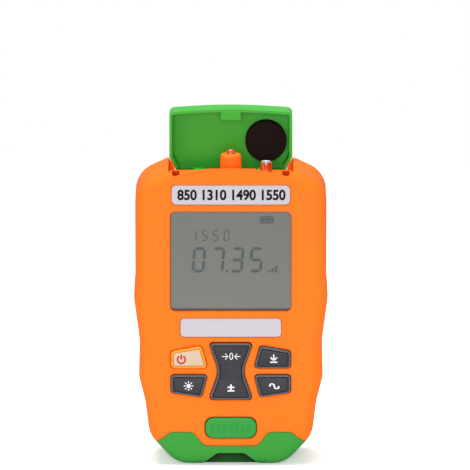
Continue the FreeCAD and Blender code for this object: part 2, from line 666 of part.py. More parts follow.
def cavity_corners():
    """Outline of the room inside, one wall in from the casing."""
    return mirrored([
        ("foot_half - wall", "wall", "foot_round - wall"),
        ("hip_half - wall", "hip_rise + wall / 2", "hip_round - wall"),
        ("grip_half - wall", "grip_rise", "grip_round"),
        ("swell_half - wall", "swell_rise", "swell_round"),
        ("waist_half - wall", "waist_rise", "waist_round"),
        ("girth_half - wall", "girth_rise", "girth_round"),
        ("chest_half - wall", "chest_rise", "chest_round"),
        ("chest_half - wall", "cavity_top", "cavity_round"),
    ])


def cap_edge_corners(gap):
    """Region below the cap's wavy edge, with the edge moved up by a gap."""
    return mirrored([
        ("wave_side_half", "-wall", "0"),
        ("wave_side_half", "wave_side_rise + (%s)" % gap, "0"),
        ("wave_lobe_outer", "wave_lobe_rise + (%s)" % gap, "wave_round"),
        ("wave_lobe_inner", "wave_lobe_rise + (%s)" % gap, "wave_round"),
        ("wave_mid_half", "wave_mid_rise + (%s)" % gap, "wave_round"),
    ])


def upper_key_corners(side, grow="0"):
    """Outline of an upper corner key: side is 1 on the right and -1 on the left."""
    corners = [("key_inner - (%s)" % grow, "upper_key_low - (%s)" % grow, "key_round"),
               ("key_outer + (%s)" % grow, "upper_key_low - (%s)" % grow, "key_round"),
               ("key_outer + (%s)" % grow, "upper_key_side + (%s)" % grow, "key_round"),
               ("key_taper - (%s)" % grow, "upper_key_high + (%s)" % grow, "key_round")]
    return sided(corners, side)


def lower_key_corners(side, grow="0"):
    """Outline of a lower corner key."""
    corners = [("key_taper - (%s)" % grow, "lower_key_low - (%s)" % grow, "key_round"),
               ("key_outer + (%s)" % grow, "lower_key_side - (%s)" % grow, "key_round"),
               ("key_outer + (%s)" % grow, "lower_key_high + (%s)" % grow, "key_round"),
               ("key_inner - (%s)" % grow, "lower_key_high + (%s)" % grow, "key_round")]
    return sided(corners, side)


def sided(corners, side):
    """Mirror an outline to the left side where asked."""
    if side > 0:
        return corners
    return [("-(%s)" % x, y, radius) for x, y, radius in reversed(corners)]


def rocker_corners(grow="0"):
    """Hourglass outline of the rocker key."""
    low = "rocker_rise - rocker_tall / 2 - (%s)" % grow
    high = "rocker_rise + rocker_tall / 2 + (%s)" % grow
    return mirrored([
        ("rocker_half + (%s)" % grow, low, "key_round"),
        ("rocker_waist + (%s)" % grow, "rocker_rise", "rocker_curve"),
        ("rocker_half + (%s)" % grow, high, "key_round"),
    ])


KEYS = {
    "power_key": (upper_key_corners, -1),
    "store_key": (upper_key_corners, 1),
    "light_key": (lower_key_corners, -1),
    "wavelength_key": (lower_key_corners, 1),
}
KEY_CENTRE = "(key_outer + key_inner) / 2"
UPPER_KEY_CENTRE = "(upper_key_low + upper_key_side) / 2"
LOWER_KEY_CENTRE = "(lower_key_high + lower_key_side) / 2"
BOSSES = [("boss_upper_half", "boss_upper_rise"), ("boss_lower_half", "boss_lower_rise")]
BOARD_POSTS = ["board_post_low", "board_post_mid", "board_post_high"]


# ---------------------------------------------------------------- casing
def cut_channel(body, depth, flip):
    """Cut the channel between the shoulders from the parting plane outward."""
    channel = sketch_on(body, "XZ_Plane", "channel")
    panel(channel, "0", "ridge_rise", "2 * channel_half",
          "2 * (ridge_rise - channel_floor)")
    pocket(channel, depth, flip=flip)
    neck = sketch_on(body, "XZ_Plane", "neck")
    panel(neck, "0", "cavity_top", "2 * neck_half", "2 * (channel_floor - cavity_top) + wall")
    return neck


def cut_cap_seat(body):
    """Cut away what the bottom cap replaces, below its wavy edge."""
    seat = sketch_on(body, "XZ_Plane", "cap_seat")
    outline(seat, cap_edge_corners("joint_gap"))
    pocket(seat, THROUGH_CASING, middle=True)


def make_front_shell():
    """Front half of the casing: face, lip, key openings, bosses and latch rib."""
    body = new_body("front_shell")
    face = sketch_on(body, "XZ_Plane", "face")
    outline(face, casing_corners())
    pad(face, MIDDLE)
    front = -number(MIDDLE)
    soften(body, "front_edge", "front_edge", lambda edge: all_at(edge, "Y", front))

    cavity = sketch_on(body, "XZ_Plane", "cavity")
    outline(cavity, cavity_corners())
    pocket(cavity, "casing_depth / 2 - wall", flip=True)
    neck = cut_channel(body, "casing_depth / 2 - lip_thick", flip=True)
    pocket(neck, "neck_front", flip=True)

    lip = sketch_on(body, "XZ_Plane", "lip")
    outline(lip, [("-horn_half", "lip_end_rise", "lip_corner"),
                  ("0", "lip_peak_rise", "lip_round"),
                  ("horn_half", "lip_end_rise", "lip_corner"),
                  ("horn_top_half", "ridge_rise", "0"),
                  ("-horn_top_half", "ridge_rise", "0")])
    pocket(lip, "casing_depth", flip=True)
    for name, wide, tall, rise, radius, deep in [
            ("title", "title_wide", "title_tall", "title_rise", "title_round",
             "plate_sunk + plate_thick"),
            ("label", "label_wide", "label_tall", "label_rise", "label_round",
             "plate_sunk + plate_thick"),
            ("window", "window_wide", "window_tall", "window_rise", "window_round",
             "lens_sunk + lens_thick")]:
        recess = sketch_on(body, "XZ_Plane", name, MIDDLE)
        pocket(panel(recess, "0", rise, wide, tall, radius), deep)
    view = sketch_on(body, "XZ_Plane", "view", MIDDLE)
    panel(view, "0", "window_rise", "window_wide", "window_tall", "view_round",
          grow="-window_ledge")
    pocket(view, THROUGH_WALL)

    for name, (corners, side) in KEYS.items():
        hole = sketch_on(body, "XZ_Plane", name, MIDDLE)
        pocket(outline(hole, corners(side, "slide_gap")), THROUGH_WALL)
    hole = sketch_on(body, "XZ_Plane", "rocker", MIDDLE)
    pocket(outline(hole, rocker_corners("rocker_gap")), THROUGH_WALL)
    hole = sketch_on(body, "XZ_Plane", "button", MIDDLE)
    pocket(panel(hole, "0", "button_rise", "button_wide", "button_tall", "button_round",
                 grow="slide_gap"), THROUGH_WALL)

    add_front_ribs(body)
    cut_cap_seat(body)
    return body


def add_front_ribs(body):
    """Bosses, board posts, rocker lugs and the latch rib behind the front wall."""
    bosses = sketch_on(body, "XZ_Plane", "bosses")
    for half, rise in BOSSES:
        for side in ("", "-"):
            circle(bosses, side + half, rise, "boss_radius")
    pad(bosses, "casing_depth / 2 - wall / 2")
    pilots = sketch_on(body, "XZ_Plane", "pilots")
    for half, rise in BOSSES:
        for side in ("", "-"):
            circle(pilots, side + half, rise, "screw_radius")
    pocket(pilots, "screw_bite + joint_gap", flip=True)

    posts = sketch_on(body, "XZ_Plane", "posts", from_front("board_deep"))
    for rise in BOARD_POSTS:
        for side in ("", "-"):
            circle(posts, side + "post_half", rise, "board_post")
    pad(posts, "board_deep - wall / 2")
    holes = sketch_on(body, "XZ_Plane", "post_holes", from_front("board_deep"))
    for rise in BOARD_POSTS:
        for side in ("", "-"):
            circle(holes, side + "post_half", rise, "board_screw")
    pocket(holes, "board_screw_bite + joint_gap", flip=True)

    lugs = sketch_on(body, "XZ_Plane", "lugs", from_front("pivot_deep + lug_half"))
    for side in ("", "-"):
        panel(lugs, side + "(lug_inner + lug_outer) / 2", "rocker_rise",
              "lug_outer - lug_inner", "2 * lug_half")
    pad(lugs, "pivot_deep + lug_half - wall / 2")
    bores = sketch_on(body, "YZ_Plane", "peg_bores")
    circle(bores, at_depth("pivot_deep"), "rocker_rise", "pivot_radius + pivot_play")
    pocket(bores, "2 * lug_outer + wall", middle=True)

    rib = sketch_on(body, "XZ_Plane", "rib", from_front("catch_deep"))
    panel(rib, "0", "catch_low + catch_tall / 2", "2 * catch_half", "catch_tall")
    pad(rib, "catch_deep - wall / 2")


def make_rear_shell():
    """Rear half of the casing with the battery bay and the screw holes."""
    body = new_body("rear_shell")
    face = sketch_on(body, "XZ_Plane", "face")
    outline(face, casing_corners())
    pad(face, MIDDLE, flip=True)
    back = number(MIDDLE)
    soften(body, "back_edge", "back_edge", lambda edge: all_at(edge, "Y", back))

    neck = cut_channel(body, "casing_depth", flip=False)
    add_cheeks(body)
    cavity = sketch_on(body, "XZ_Plane", "cavity")
    outline(cavity, cavity_corners())
    pocket(cavity, "casing_depth / 2 - wall")
    pocket(neck, "neck_back")

    bosses = sketch_on(body, "XZ_Plane", "bosses")
    for half, rise in BOSSES:
        for side in ("", "-"):
            circle(bosses, side + half, rise, "boss_radius")
    pad(bosses, "casing_depth / 2 - wall / 2", flip=True)
    for name, radius, start in [("shanks", "screw_radius + joint_gap", "0"),
                                ("heads", "screw_head + joint_gap",
                                 "screw_sunk + screw_head_thick - casing_depth / 2")]:
        holes = sketch_on(body, "XZ_Plane", name, start)
        for half, rise in BOSSES:
            for side in ("", "-"):
                circle(holes, side + half, rise, radius)
        pocket(holes, "casing_depth")

    walls = sketch_on(body, "XY_Plane", "bay_walls", "bay_low")
    outline(walls, [("-bay_half - bay_wall", "bay_front - bay_wall", "0"),
                    ("bay_half + bay_wall", "bay_front - bay_wall", "0"),
                    ("bay_half + bay_wall", "casing_depth / 2 - wall / 2", "0"),
                    ("-bay_half - bay_wall", "casing_depth / 2 - wall / 2", "0")])
    pad(walls, "bay_top + bay_wall - bay_low")
    bay = sketch_on(body, "XY_Plane", "bay", "bay_low")
    panel(bay, "0", "cell_back", "2 * bay_half", "2 * (cell_radius + cell_gap)")
    pocket(bay, "bay_top - bay_low", flip=True)
    cut_cap_seat(body)
    return body


def add_cheeks(body):
    """Cones round the hinge axis that stand before the lid's tapered foot."""
    cheeks = sketch_on(body, "XZ_Plane", "cheeks", "-hinge_back")
    cheeks.setExpression("AttachmentOffset.Base.y", full("hinge_rise"))
    side = "channel_half + wall / 2"
    for sign in (1, -1):
        outline(cheeks, sided([("cheek_half", "0", "0"), (side, "0", "0"),
                               (side, "cheek_tip", "0"), ("cheek_side", "cheek_tip", "0"),
                               ("cheek_half", "cheek_foot", "0")], sign))
    turn(cheeks, "H_Axis")
    for name, start, flip in (
            ("before_cheeks", "-(deck_back + contact_gap)", True),
            ("behind_cheeks", "-(hinge_back + lid_rim - contact_gap)", False)):
        room = sketch_on(body, "XZ_Plane", name, start)
        panel(room, "0", "ridge_rise", "2 * channel_half", "2 * (ridge_rise - channel_floor)")
        pocket(room, "casing_depth", flip=flip)


def make_top_deck():
    """Moulded plate between the shoulders: torch post, port hole and hinge barrel."""
    body = new_body("top_deck")
    front = "lip_thick + contact_gap - casing_depth / 2"
    side = "channel_half - joint_gap"
    plate = sketch_on(body, "XY_Plane", "plate", "channel_floor")
    outline(plate, [("-(%s)" % side, front, "0"), (side, front, "0"),
                    (side, "deck_back", "0"), ("-(%s)" % side, "deck_back", "0")])
    pad(plate, "deck_rise - channel_floor")
    hollow = sketch_on(body, "XY_Plane", "hollow", "channel_floor")
    outline(hollow, [("-neck_half", "-neck_front", "0"), ("neck_half", "-neck_front", "0"),
                     ("neck_half", "neck_back", "0"), ("-neck_half", "neck_back", "0")])
    pocket(hollow, "deck_rise - deck_thick - channel_floor", flip=True)
    trenches = sketch_on(body, "XY_Plane", "trenches", "deck_rise")
    for sign in (1, -1):
        outline(trenches, sided([("trench_inner", "-trench_front", "0"),
                                 ("trench_outer", "-trench_front", "0"),
                                 ("trench_outer", "deck_back - trench_end", "0"),
                                 ("trench_inner", "deck_back - trench_end", "0")], sign))
    pocket(trenches, "trench_deep")

    post = sketch_on(body, "XZ_Plane", "post")
    outline(post, [("0", "deck_rise - deck_thick / 2", "0"),
                   ("post_base", "deck_rise - deck_thick / 2", "0"),
                   ("post_base", "deck_rise", "0"),
                   ("post_tip", "post_rise", "post_soft"),
                   ("0", "post_rise", "0")])
    turn(post)
    bore = sketch_on(body, "XY_Plane", "led_bore", "post_rise")
    pocket(circle(bore, "0", "0", "led_radius + joint_gap / 2"), "post_rise - channel_floor")
    seat = sketch_on(body, "XY_Plane", "led_seat", "led_seat")
    pocket(circle(seat, "0", "0", "led_flange + joint_gap"), "led_seat - channel_floor")
    port = sketch_on(body, "XY_Plane", "port_hole", "deck_rise")
    pocket(circle(port, "port_side", "0", "port_radius + joint_gap / 2"), "2 * deck_thick")

    barrel = sketch_on(body, "YZ_Plane", "barrel")
    low, high = "hinge_rise - knuckle_radius", "hinge_rise + knuckle_radius"
    outline(barrel, [("deck_back - wall / 2", low, "0"),
                     ("hinge_back + knuckle_radius", low, almost("knuckle_radius")),
                     ("hinge_back + knuckle_radius", high, almost("knuckle_radius")),
                     ("deck_back - wall / 2", high, "0")])
    pad(barrel, "2 * barrel_half", middle=True)
    pin = sketch_on(body, "YZ_Plane", "pin_hole")
    pocket(circle(pin, "hinge_back", "hinge_rise", "hinge_pin + hinge_play"),
           "3 * barrel_half", middle=True)
    return body


def make_bottom_cap():
    """Battery cap that closes the casing: wavy edge, finger scoop and contact plinth."""
    body = new_body("bottom_cap")
    face = sketch_on(body, "XZ_Plane", "face")
    outline(face, casing_corners())
    pad(face, "casing_depth", middle=True)
    half = number(MIDDLE)
    soften(body, "front_edge", "front_edge", lambda edge: all_at(edge, "Y", -half))
    soften(body, "back_edge", "back_edge", lambda edge: all_at(edge, "Y", half))
    above = sketch_on(body, "XZ_Plane", "above")
    corners = cap_edge_corners("0")
    edge = corners[1:-1]
    outline(above, [("-wave_side_half", "ridge_rise", "0"),
                    *reversed(edge), ("wave_side_half", "ridge_rise", "0")])
    pocket(above, THROUGH_CASING, middle=True)
    cavity = sketch_on(body, "XZ_Plane", "cavity")
    outline(cavity, cavity_corners())
    pocket(cavity, "casing_depth - 2 * wall", middle=True)

    shield = sketch_on(body, "XZ_Plane", "shield", from_front("scoop_deep + scoop_wall"))
    outline(shield, mirrored([
        ("scoop_half + scoop_wall", "wall / 2", "0"),
        ("scoop_top_half + scoop_wall", "scoop_tall + scoop_wall", "scoop_round")]))
    pad(shield, "scoop_deep + scoop_wall - wall / 2")
    scoop = sketch_on(body, "XZ_Plane", "scoop", MIDDLE)
    outline(scoop, mirrored([("scoop_half", "-wall", "0"), ("scoop_half", "0", "0"),
                             ("scoop_top_half", "scoop_tall", "scoop_round")]))
    pocket(scoop, "scoop_deep")
    plinth = sketch_on(body, "XY_Plane", "plinth", "wall / 2")
    panel(plinth, "0", "cell_back", "2 * cell_pitch + contact_wide", "contact_wide")
    pad(plinth, "wall / 2 + plinth_tall")
    return body


# ---------------------------------------------------------------- lid and hinge
def lid_corners(shrink="0"):
    """Outline of the lid from its hinge, seen from the front while it stands open."""
    return [("lid_foot_half - (%s)" % shrink, "(%s) - lid_tail" % shrink, "0"),
            ("lid_foot_half - (%s)" % shrink, "lid_foot_reach", "lid_wall"),
            ("lid_half - (%s)" % shrink, "lid_side_reach", "lid_wall"),
            ("lid_half - (%s)" % shrink, "lid_corner_reach - (%s)" % shrink,
             "lid_corner_round - (%s)" % shrink),
            ("0", "lid_peak_reach - (%s)" % shrink, "lid_tip_round")]


def make_flip_lid():
    """Tray-shaped lid, drawn about its hinge axis as it stands open."""
    body = new_body("flip_lid", "0", "hinge_back", "hinge_rise")
    tray = sketch_on(body, "XZ_Plane", "tray", "-lid_deep")
    outline(tray, mirrored(lid_corners()))
    pad(tray, "lid_deep - lid_rim")
    outer = number("lid_deep")
    soften(body, "outer_edge", "lid_soft",
           lambda edge: all_at(edge, "Y", outer) and edge.BoundBox.ZMax > 0)
    inside = sketch_on(body, "XZ_Plane", "inside", "-lid_rim")
    outline(inside, mirrored(lid_corners("lid_wall")))
    pocket(inside, "lid_deep - lid_wall - lid_rim")
    tab = sketch_on(body, "XZ_Plane", "tab", "-lid_rim - tab_thick")
    outline(tab, [("-tab_half", "tab_reach - tab_long", "0"),
                  ("tab_half", "tab_reach - tab_long", "0"),
                  ("tab_half", "tab_reach + lid_wall / 2", "0"),
                  ("-tab_half", "tab_reach + lid_wall / 2", "0")])
    pad(tab, "tab_thick")

    inner = "(barrel_half + knuckle_gap)"
    for side, name in ((1, "right"), (-1, "left")):
        arm = sketch_on(body, "YZ_Plane", name + "_arm",
                        inner if side > 0 else "-%s - knuckle_long" % inner)
        outline(arm, [("-knuckle_radius", "-knuckle_radius", almost("knuckle_radius")),
                      ("lid_rim + lid_wall", "-lid_tail", "0"),
                      ("lid_rim + lid_wall", "knuckle_radius / 2", "0"),
                      ("knuckle_radius", "knuckle_radius", "knuckle_soft"),
                      ("-knuckle_radius", "knuckle_radius", almost("knuckle_radius"))])
        pad(arm, "knuckle_long")
    pin = sketch_on(body, "YZ_Plane", "pin_hole")
    pocket(circle(pin, "0", "0", "hinge_pin + hinge_play"), "4 * barrel_half", middle=True)
    return body


def make_lid_parts():
    """Foam pad that covers the port when the lid is shut, and the hinge pin."""
    lid_floor = "hinge_back + lid_deep - lid_wall"
    pad_thick = "hinge_rise + lid_deep - lid_wall - port_rise - pad_gap"
    finish(rod("lid_pad_disc", "pad_radius", pad_thick, "-Y", "port_side", lid_floor,
               "hinge_rise + hinge_back"), "lid_pad")
    half = "(barrel_half + knuckle_gap + knuckle_long)"
    finish(rod("hinge_pin_rod", "hinge_pin", "2 * " + half, "X", "-" + half, "hinge_back",
               "hinge_rise"), "hinge_pin")


# ---------------------------------------------------------------- keys, button, latch
def make_keys():
    """Four corner keys: cap, softened edge and the rim that holds each one in."""
    for name, (corners, side) in KEYS.items():
        body = new_body(name)
        cap = sketch_on(body, "XZ_Plane", "cap", from_front("key_ledge"))
        pad(outline(cap, corners(side)), "key_proud + key_ledge")
        top = -number("casing_depth / 2 + key_proud")
        soften(body, "edge", "key_bevel", lambda edge: all_at(edge, "Y", top), BEVEL)
        rim = sketch_on(body, "XZ_Plane", "rim", from_front("key_ledge"))
        pad(outline(rim, corners(side, "key_flange")), "key_flange", flip=True)


def make_rocker_key():
    """Hourglass rocker key on two pegs at its waist."""
    body = new_body("rocker_key")
    cap = sketch_on(body, "XZ_Plane", "cap", from_front("rocker_back"))
    pad(outline(cap, rocker_corners()), "key_proud + rocker_back")
    top = -number("casing_depth / 2 + key_proud")
    soften(body, "edge", "key_bevel", lambda edge: all_at(edge, "Y", top), BEVEL)
    bridge = sketch_on(body, "XZ_Plane", "bridge", from_front("-key_proud"))
    pocket(panel(bridge, "0", "rocker_rise", "2 * rocker_half", "bridge_tall"), "bridge_sunk")
    pegs = sketch_on(body, "YZ_Plane", "pegs")
    circle(pegs, at_depth("pivot_deep"), "rocker_rise", "pivot_radius")
    pad(pegs, "2 * pivot_reach", middle=True)


def make_release_button():
    """Oval button that frees the bottom cap."""
    body = new_body("release_button")
    cap = sketch_on(body, "XZ_Plane", "cap", from_front("key_ledge"))
    panel(cap, "0", "button_rise", "button_wide", "button_tall", "button_round")
    pad(cap, "button_proud + key_ledge")
    top = -number("casing_depth / 2 + button_proud")
    soften(body, "edge", "button_soft", lambda edge: all_at(edge, "Y", top))
    rim = sketch_on(body, "XZ_Plane", "rim", from_front("key_ledge"))
    panel(rim, "0", "button_rise", "button_wide", "button_tall", "button_round",
          grow="key_flange")
    pad(rim, "key_flange", flip=True)


def make_latch_spring():
    """Bent spring strip on the cap that hooks over the rib behind the button."""
    body = new_body("latch_spring")
    profile = sketch_on(body, "YZ_Plane", "profile")
    hook = "catch_low + catch_tall + contact_gap"
    shelf = "scoop_tall + scoop_wall + contact_gap"
    thick = "latch_thick"
    root = "scoop_deep + scoop_wall"
    behind_rib = "catch_deep + slide_gap"
    front_side = [(root, "wall + joint_gap"), (root, shelf), (behind_rib, shelf),
                  (behind_rib, hook), ("key_back", hook), ("key_back", "latch_top")]
    back_side = [("key_back + %s" % thick, "latch_top"),
                 ("key_back + %s" % thick, "%s + %s" % (hook, thick)),
                 ("%s + %s" % (behind_rib, thick), "%s + %s" % (hook, thick)),
                 ("%s + %s" % (behind_rib, thick), "%s + %s" % (shelf, thick)),
                 ("%s + %s" % (root, thick), "%s + %s" % (shelf, thick)),
                 ("%s + %s" % (root, thick), "wall + joint_gap")]
    outline(profile, [(at_depth(deep), rise, "0") for deep, rise in front_side + back_side])
    pad(profile, "2 * latch_half", middle=True)


# ---------------------------------------------------------------- plates and electronics
def make_plate(label, rise, wide, tall, radius, deep, thick):
    """A flat plate set into the front face with a small gap all round."""
    body = new_body(label)
    shape = sketch_on(body, "XZ_Plane", "shape", from_front(deep))
    panel(shape, "0", rise, wide, tall, radius, grow="-joint_gap")
    pad(shape, thick, flip=True)


def make_electronics():
    """Circuit board, display, keypad mat and what is wired to them."""
    body = new_body("circuit_board")
    board = sketch_on(body, "XZ_Plane", "board", from_front("board_deep"))
    panel(board, "0", "(board_low + board_high) / 2", "2 * board_half",
          "board_high - board_low", "board_round")
    pad(board, "board_thick", flip=True)
    holes = sketch_on(body, "XZ_Plane", "holes", from_front("board_deep"))
    for rise in BOARD_POSTS:
        for side in ("", "-"):
            circle(holes, side + "post_half", rise, "board_screw + joint_gap")
    pocket(holes, "2 * board_thick")

    low = "window_rise - panel_tall / 2"
    high = "window_rise + panel_tall / 2"
    panel_back = "panel_deep + panel_thick"
    finish(block("panel_glass", ("-panel_half", at_depth("panel_deep"), low),
                 ("panel_half", at_depth(panel_back), high)), "display_panel")
    light_low = low + " + strip_tall + contact_gap"
    light_high = high + " - strip_tall - contact_gap"
    finish(block("light_box", ("-panel_half", at_depth(panel_back), light_low),
                 ("panel_half", at_depth("board_deep"), light_high)), "backlight")
    strips = []
    for name, start in (("lower", low), ("upper", high + " - strip_tall")):
        strips.append(block(name + "_strip",
                            ("-panel_half + strip_in", at_depth(panel_back), start),
                            ("panel_half - strip_in", at_depth("board_deep"),
                             start + " + strip_tall")))
    group("zebra_strips", strips)
    make_keypad_mat()
    make_wired_parts()


def make_keypad_mat():
    """Silicone mat on the board with a dome under every key."""
    sheet_front = "board_deep - mat_thick"
    pieces = [block("mat_sheet", ("-mat_half", at_depth(sheet_front), "mat_low"),
                    ("mat_half", at_depth("board_deep"), "mat_high"))]
    spots = [(side + KEY_CENTRE, rise, "key_back") for side in ("", "-")
             for rise in (UPPER_KEY_CENTRE, LOWER_KEY_CENTRE)]
    spots += [("0", "rocker_rise %s dome_lift" % sign, "rocker_back")
              for sign in ("+", "-")]
    for index, (x, rise, deep) in enumerate(spots):
        pieces.append(rod("dome%d" % index, "dome_foot", "%s + mat_thick / 2 - (%s)"
                          % (sheet_front, deep), "-Y", x,
                          at_depth(sheet_front + " + mat_thick / 2"), rise, tip="dome_tip"))
    finish(join("mat_moulding", pieces), "keypad_mat")


def leads(name, x, top):
    """Two wire leads that drop from a part on the deck and bend to the board."""
    reach = "casing_depth / 2 - board_deep - board_thick"
    bend = "board_high - lead_drop"
    wires = []
    for index, side in enumerate(("", "-")):
        across = "%s %s lead_pitch / 2" % (x, side or "+")
        wires.append(rod("%s_drop%d" % (name, index), "lead_radius",
                         "%s - (%s)" % (top, bend), "-Z", across, "0", top))
        wires.append(rod("%s_bend%d" % (name, index), "lead_radius", reach, "-Y", across, "0",
                         bend))
        knee = doc.addObject("Part::Sphere", "%s_knee%d" % (name, index))
        bind(knee, Radius="lead_radius")
        wires.append(place(knee, across, "0", bend))
    return wires


def make_wired_parts():
    """Torch LED in its post, and the photodiode below the test port."""
    dome = doc.addObject("Part::Sphere", "led_dome")
    bind(dome, Radius="led_radius")
    place(dome, "0", "0", "led_rise - led_radius")
    stem = rod("led_stem", "led_radius", "led_rise - led_radius - led_seat", z="led_seat")
    flange = rod("led_flange_ring", "led_flange", "led_flange_thick", "-Z", z="led_seat")
    finish(join("led_moulding", [dome, stem, flange]
                + leads("led", "0", "led_seat - led_flange_thick / 2")), "torch_led")

    can_top = "deck_low - port_flange_thick"
    can = rod("diode_can", "diode_radius", "diode_tall", "-Z", "port_side", z=can_top)
    foot = rod("diode_foot", "diode_flange", "diode_flange_thick", "-Z", "port_side",
               z=can_top + " - diode_tall")
    finish(join("diode_body", [can, foot] + leads("diode", "port_side",
                                                  can_top + " - diode_tall")), "photodiode")


def make_port():
    """Turned metal barrel of the test port and the slit sleeve that guides a ferrule."""
    body = new_body("port_barrel", "port_side")
    profile = sketch_on(body, "XZ_Plane", "profile")
    outline(profile, [("port_bore", "deck_low - port_flange_thick", "0"),
                      ("port_flange", "deck_low - port_flange_thick", "0"),
                      ("port_flange", "deck_low", "0"), ("port_radius", "deck_low", "0"),
                      ("port_radius", "port_rise - port_bevel", "0"),
                      ("port_radius - port_bevel / 2", "port_rise", "0"),
                      ("port_bore", "port_rise", "0")])
    turn(profile)
    keyway = sketch_on(body, "XZ_Plane", "keyway")
    panel(keyway, "0", "port_rise", "keyway_wide", "2 * keyway_tall")
    pocket(keyway, "2 * port_radius", flip=True)

    sleeve = new_body("ferrule_sleeve", "port_side")
    ring = sketch_on(sleeve, "XY_Plane", "ring", "port_rise - contact_gap - ferrule_long")
    pad(circle(ring, "0", "0", "ferrule_radius + ferrule_wall"), "ferrule_long")
    bore = sketch_on(sleeve, "XY_Plane", "bore", "port_rise - contact_gap")
    pocket(circle(bore, "0", "0", "ferrule_radius"), "ferrule_long")
    slit = sketch_on(sleeve, "XZ_Plane", "slit")
    panel(slit, "0", "port_rise", "ferrule_slit", "4 * ferrule_long")
    pocket(slit, "2 * ferrule_radius", flip=True)


# ---------------------------------------------------------------- cells and contacts
def make_cells():
    """Three AAA cells, the middle one the other way up."""
    for index, name in enumerate(("left_cell", "middle_cell", "right_cell")):
        x = "%d * cell_pitch" % (index - 1)
        axis, start, sign = "Z", "cell_low", "+"
        if name == "middle_cell":
            axis, start, sign = "-Z", "cell_top", "-"
        can = rod(name + "_can", "cell_radius", "cell_long - cell_nub_tall", axis, x,
                  "cell_back", start)
        nub = rod(name + "_nub", "cell_nub", "cell_nub_tall", axis, x, "cell_back",
                  "%s %s (cell_long - cell_nub_tall)" % (start, sign))
        finish(join(name + "_whole", [can, nub]), name)


def contact(name, x, rise, up):
    """A contact plate with a spring dimple that meets a cell's end."""
    back = "contact_wide / 2 + cell_back"
    low, high = (rise, rise + " + contact_thick") if up else (rise + " - contact_thick", rise)
    plate = block(name + "_plate", (x + " - contact_wide / 2", back + " - contact_wide", low),
                  (x + " + contact_wide / 2", back, high))
    dimple = rod(name + "_dimple", "contact_dimple", "contact_tall", "Z" if up else "-Z", x,
                 "cell_back", high if up else low, tip="contact_tip")
    return [plate, dimple]


def make_contacts():
    """Contacts at the top of the bay, and the linked contact plate in the cap."""
    columns = ["%d * cell_pitch" % step for step in (-1, 0, 1)]
    group("bay_contacts", [join("bay_contact%d" % index,
                                contact("bay%d" % index, x, "bay_top", up=False))
                           for index, x in enumerate(columns)])
    floor = "wall + plinth_tall"
    pieces = []
    for index, x in enumerate(columns):
        pieces += contact("cap%d" % index, x, floor, up=True)
    link = block("cap_link", ("-cell_pitch", "cell_back - contact_dimple", floor),
                 ("cell_pitch", "cell_back + contact_dimple", floor + " + contact_thick"))
    finish(join("cap_contact_strip", pieces + [link]), "cap_contact")


# ---------------------------------------------------------------- fasteners
CASE_SCREW = ("screw_radius", "screw_head", "screw_head_thick", "drive_radius", "drive_deep")
BOARD_SCREW = ("board_screw", "board_screw_head", "board_screw_thick", "board_drive",
               "board_drive_deep")


def screw(name, kind, x, y, rise, long):
    """A pan-head screw that points to the front, with its head's top at y."""
    radius, head, head_thick, drive_radius, drive_deep = kind
    neck = "%s - (%s)" % (y, head_thick)
    blank = join(name + "_blank", [
        rod(name + "_head", head, head_thick, "-Y", x, y, rise),
        rod(name + "_shank", radius, long, "-Y", x, neck, rise)])
    return cut(name, blank, rod(name + "_drive", drive_radius, drive_deep, "-Y", x, y, rise))


def make_screws():
    """Case screws from the back, and the screws that hold the board to its posts."""
    head_top = "casing_depth / 2 - screw_sunk"
    shank = "%s - screw_head_thick + screw_bite" % head_top
    group("case_screws", [
        screw("case_screw%d%s" % (index, "a" if side else "b"), CASE_SCREW, side + half,
              head_top, rise, shank)
        for index, (half, rise) in enumerate(BOSSES) for side in ("", "-")])
    board_top = at_depth("board_deep + board_thick + board_screw_thick")
    group("board_screws", [
        screw("board_screw%d%s" % (index, "a" if side else "b"), BOARD_SCREW,
              side + "post_half", board_top, rise, "board_thick + board_screw_bite")
        for index, rise in enumerate(BOARD_POSTS) for side in ("", "-")])


# ---------------------------------------------------------------- build, test and write
def build():
    """Make every sub-part."""
    make_front_shell()
    make_rear_shell()
    make_top_deck()
    make_bottom_cap()
    make_flip_lid()
    make_lid_parts()
    make_keys()
    make_rocker_key()
    make_release_button()
    make_latch_spring()
    make_plate("window_lens", "window_rise", "window_wide", "window_tall", "window_round",
               "lens_sunk", "lens_thick")
    make_plate("title_plate", "title_rise", "title_wide", "title_tall", "title_round",
               "plate_sunk", "plate_thick")
    make_plate("label_plate", "label_rise", "label_wide", "label_tall", "label_round",
               "plate_sunk", "plate_thick")
    make_electronics()
    make_port()
    make_cells()
    make_contacts()
    make_screws()
    doc.recompute()


def write():
    """Test the document and write each sub-part to its own file."""
    for item in doc.Objects:
        if "Invalid" in item.State or "Error" in item.State:
            raise RuntimeError("%s failed: %s" % (item.Name, item.State))
    os.makedirs("parts", exist_ok=True)
    for item in SUB_PARTS:
        if item.Shape.isNull() or not item.Shape.isValid():
            raise RuntimeError(item.Label + " has no valid shape")
        item.Shape.exportStep("parts/%s.step" % item.Label)
        print("%-18s %2d solids %10.1f mm3" % (item.Label, len(item.Shape.Solids),
                                               item.Shape.Volume))


build()
write()
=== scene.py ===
"""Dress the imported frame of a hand-held optical power meter.

The frame is in metres: +Z is up, the keypad faces -Y and +X is on the viewer's right.
Sizes in this script are in millimetres, and mm() turns them into metres.
"""

import logging
import math
from dataclasses import dataclass
from enum import Enum
from typing import Callable

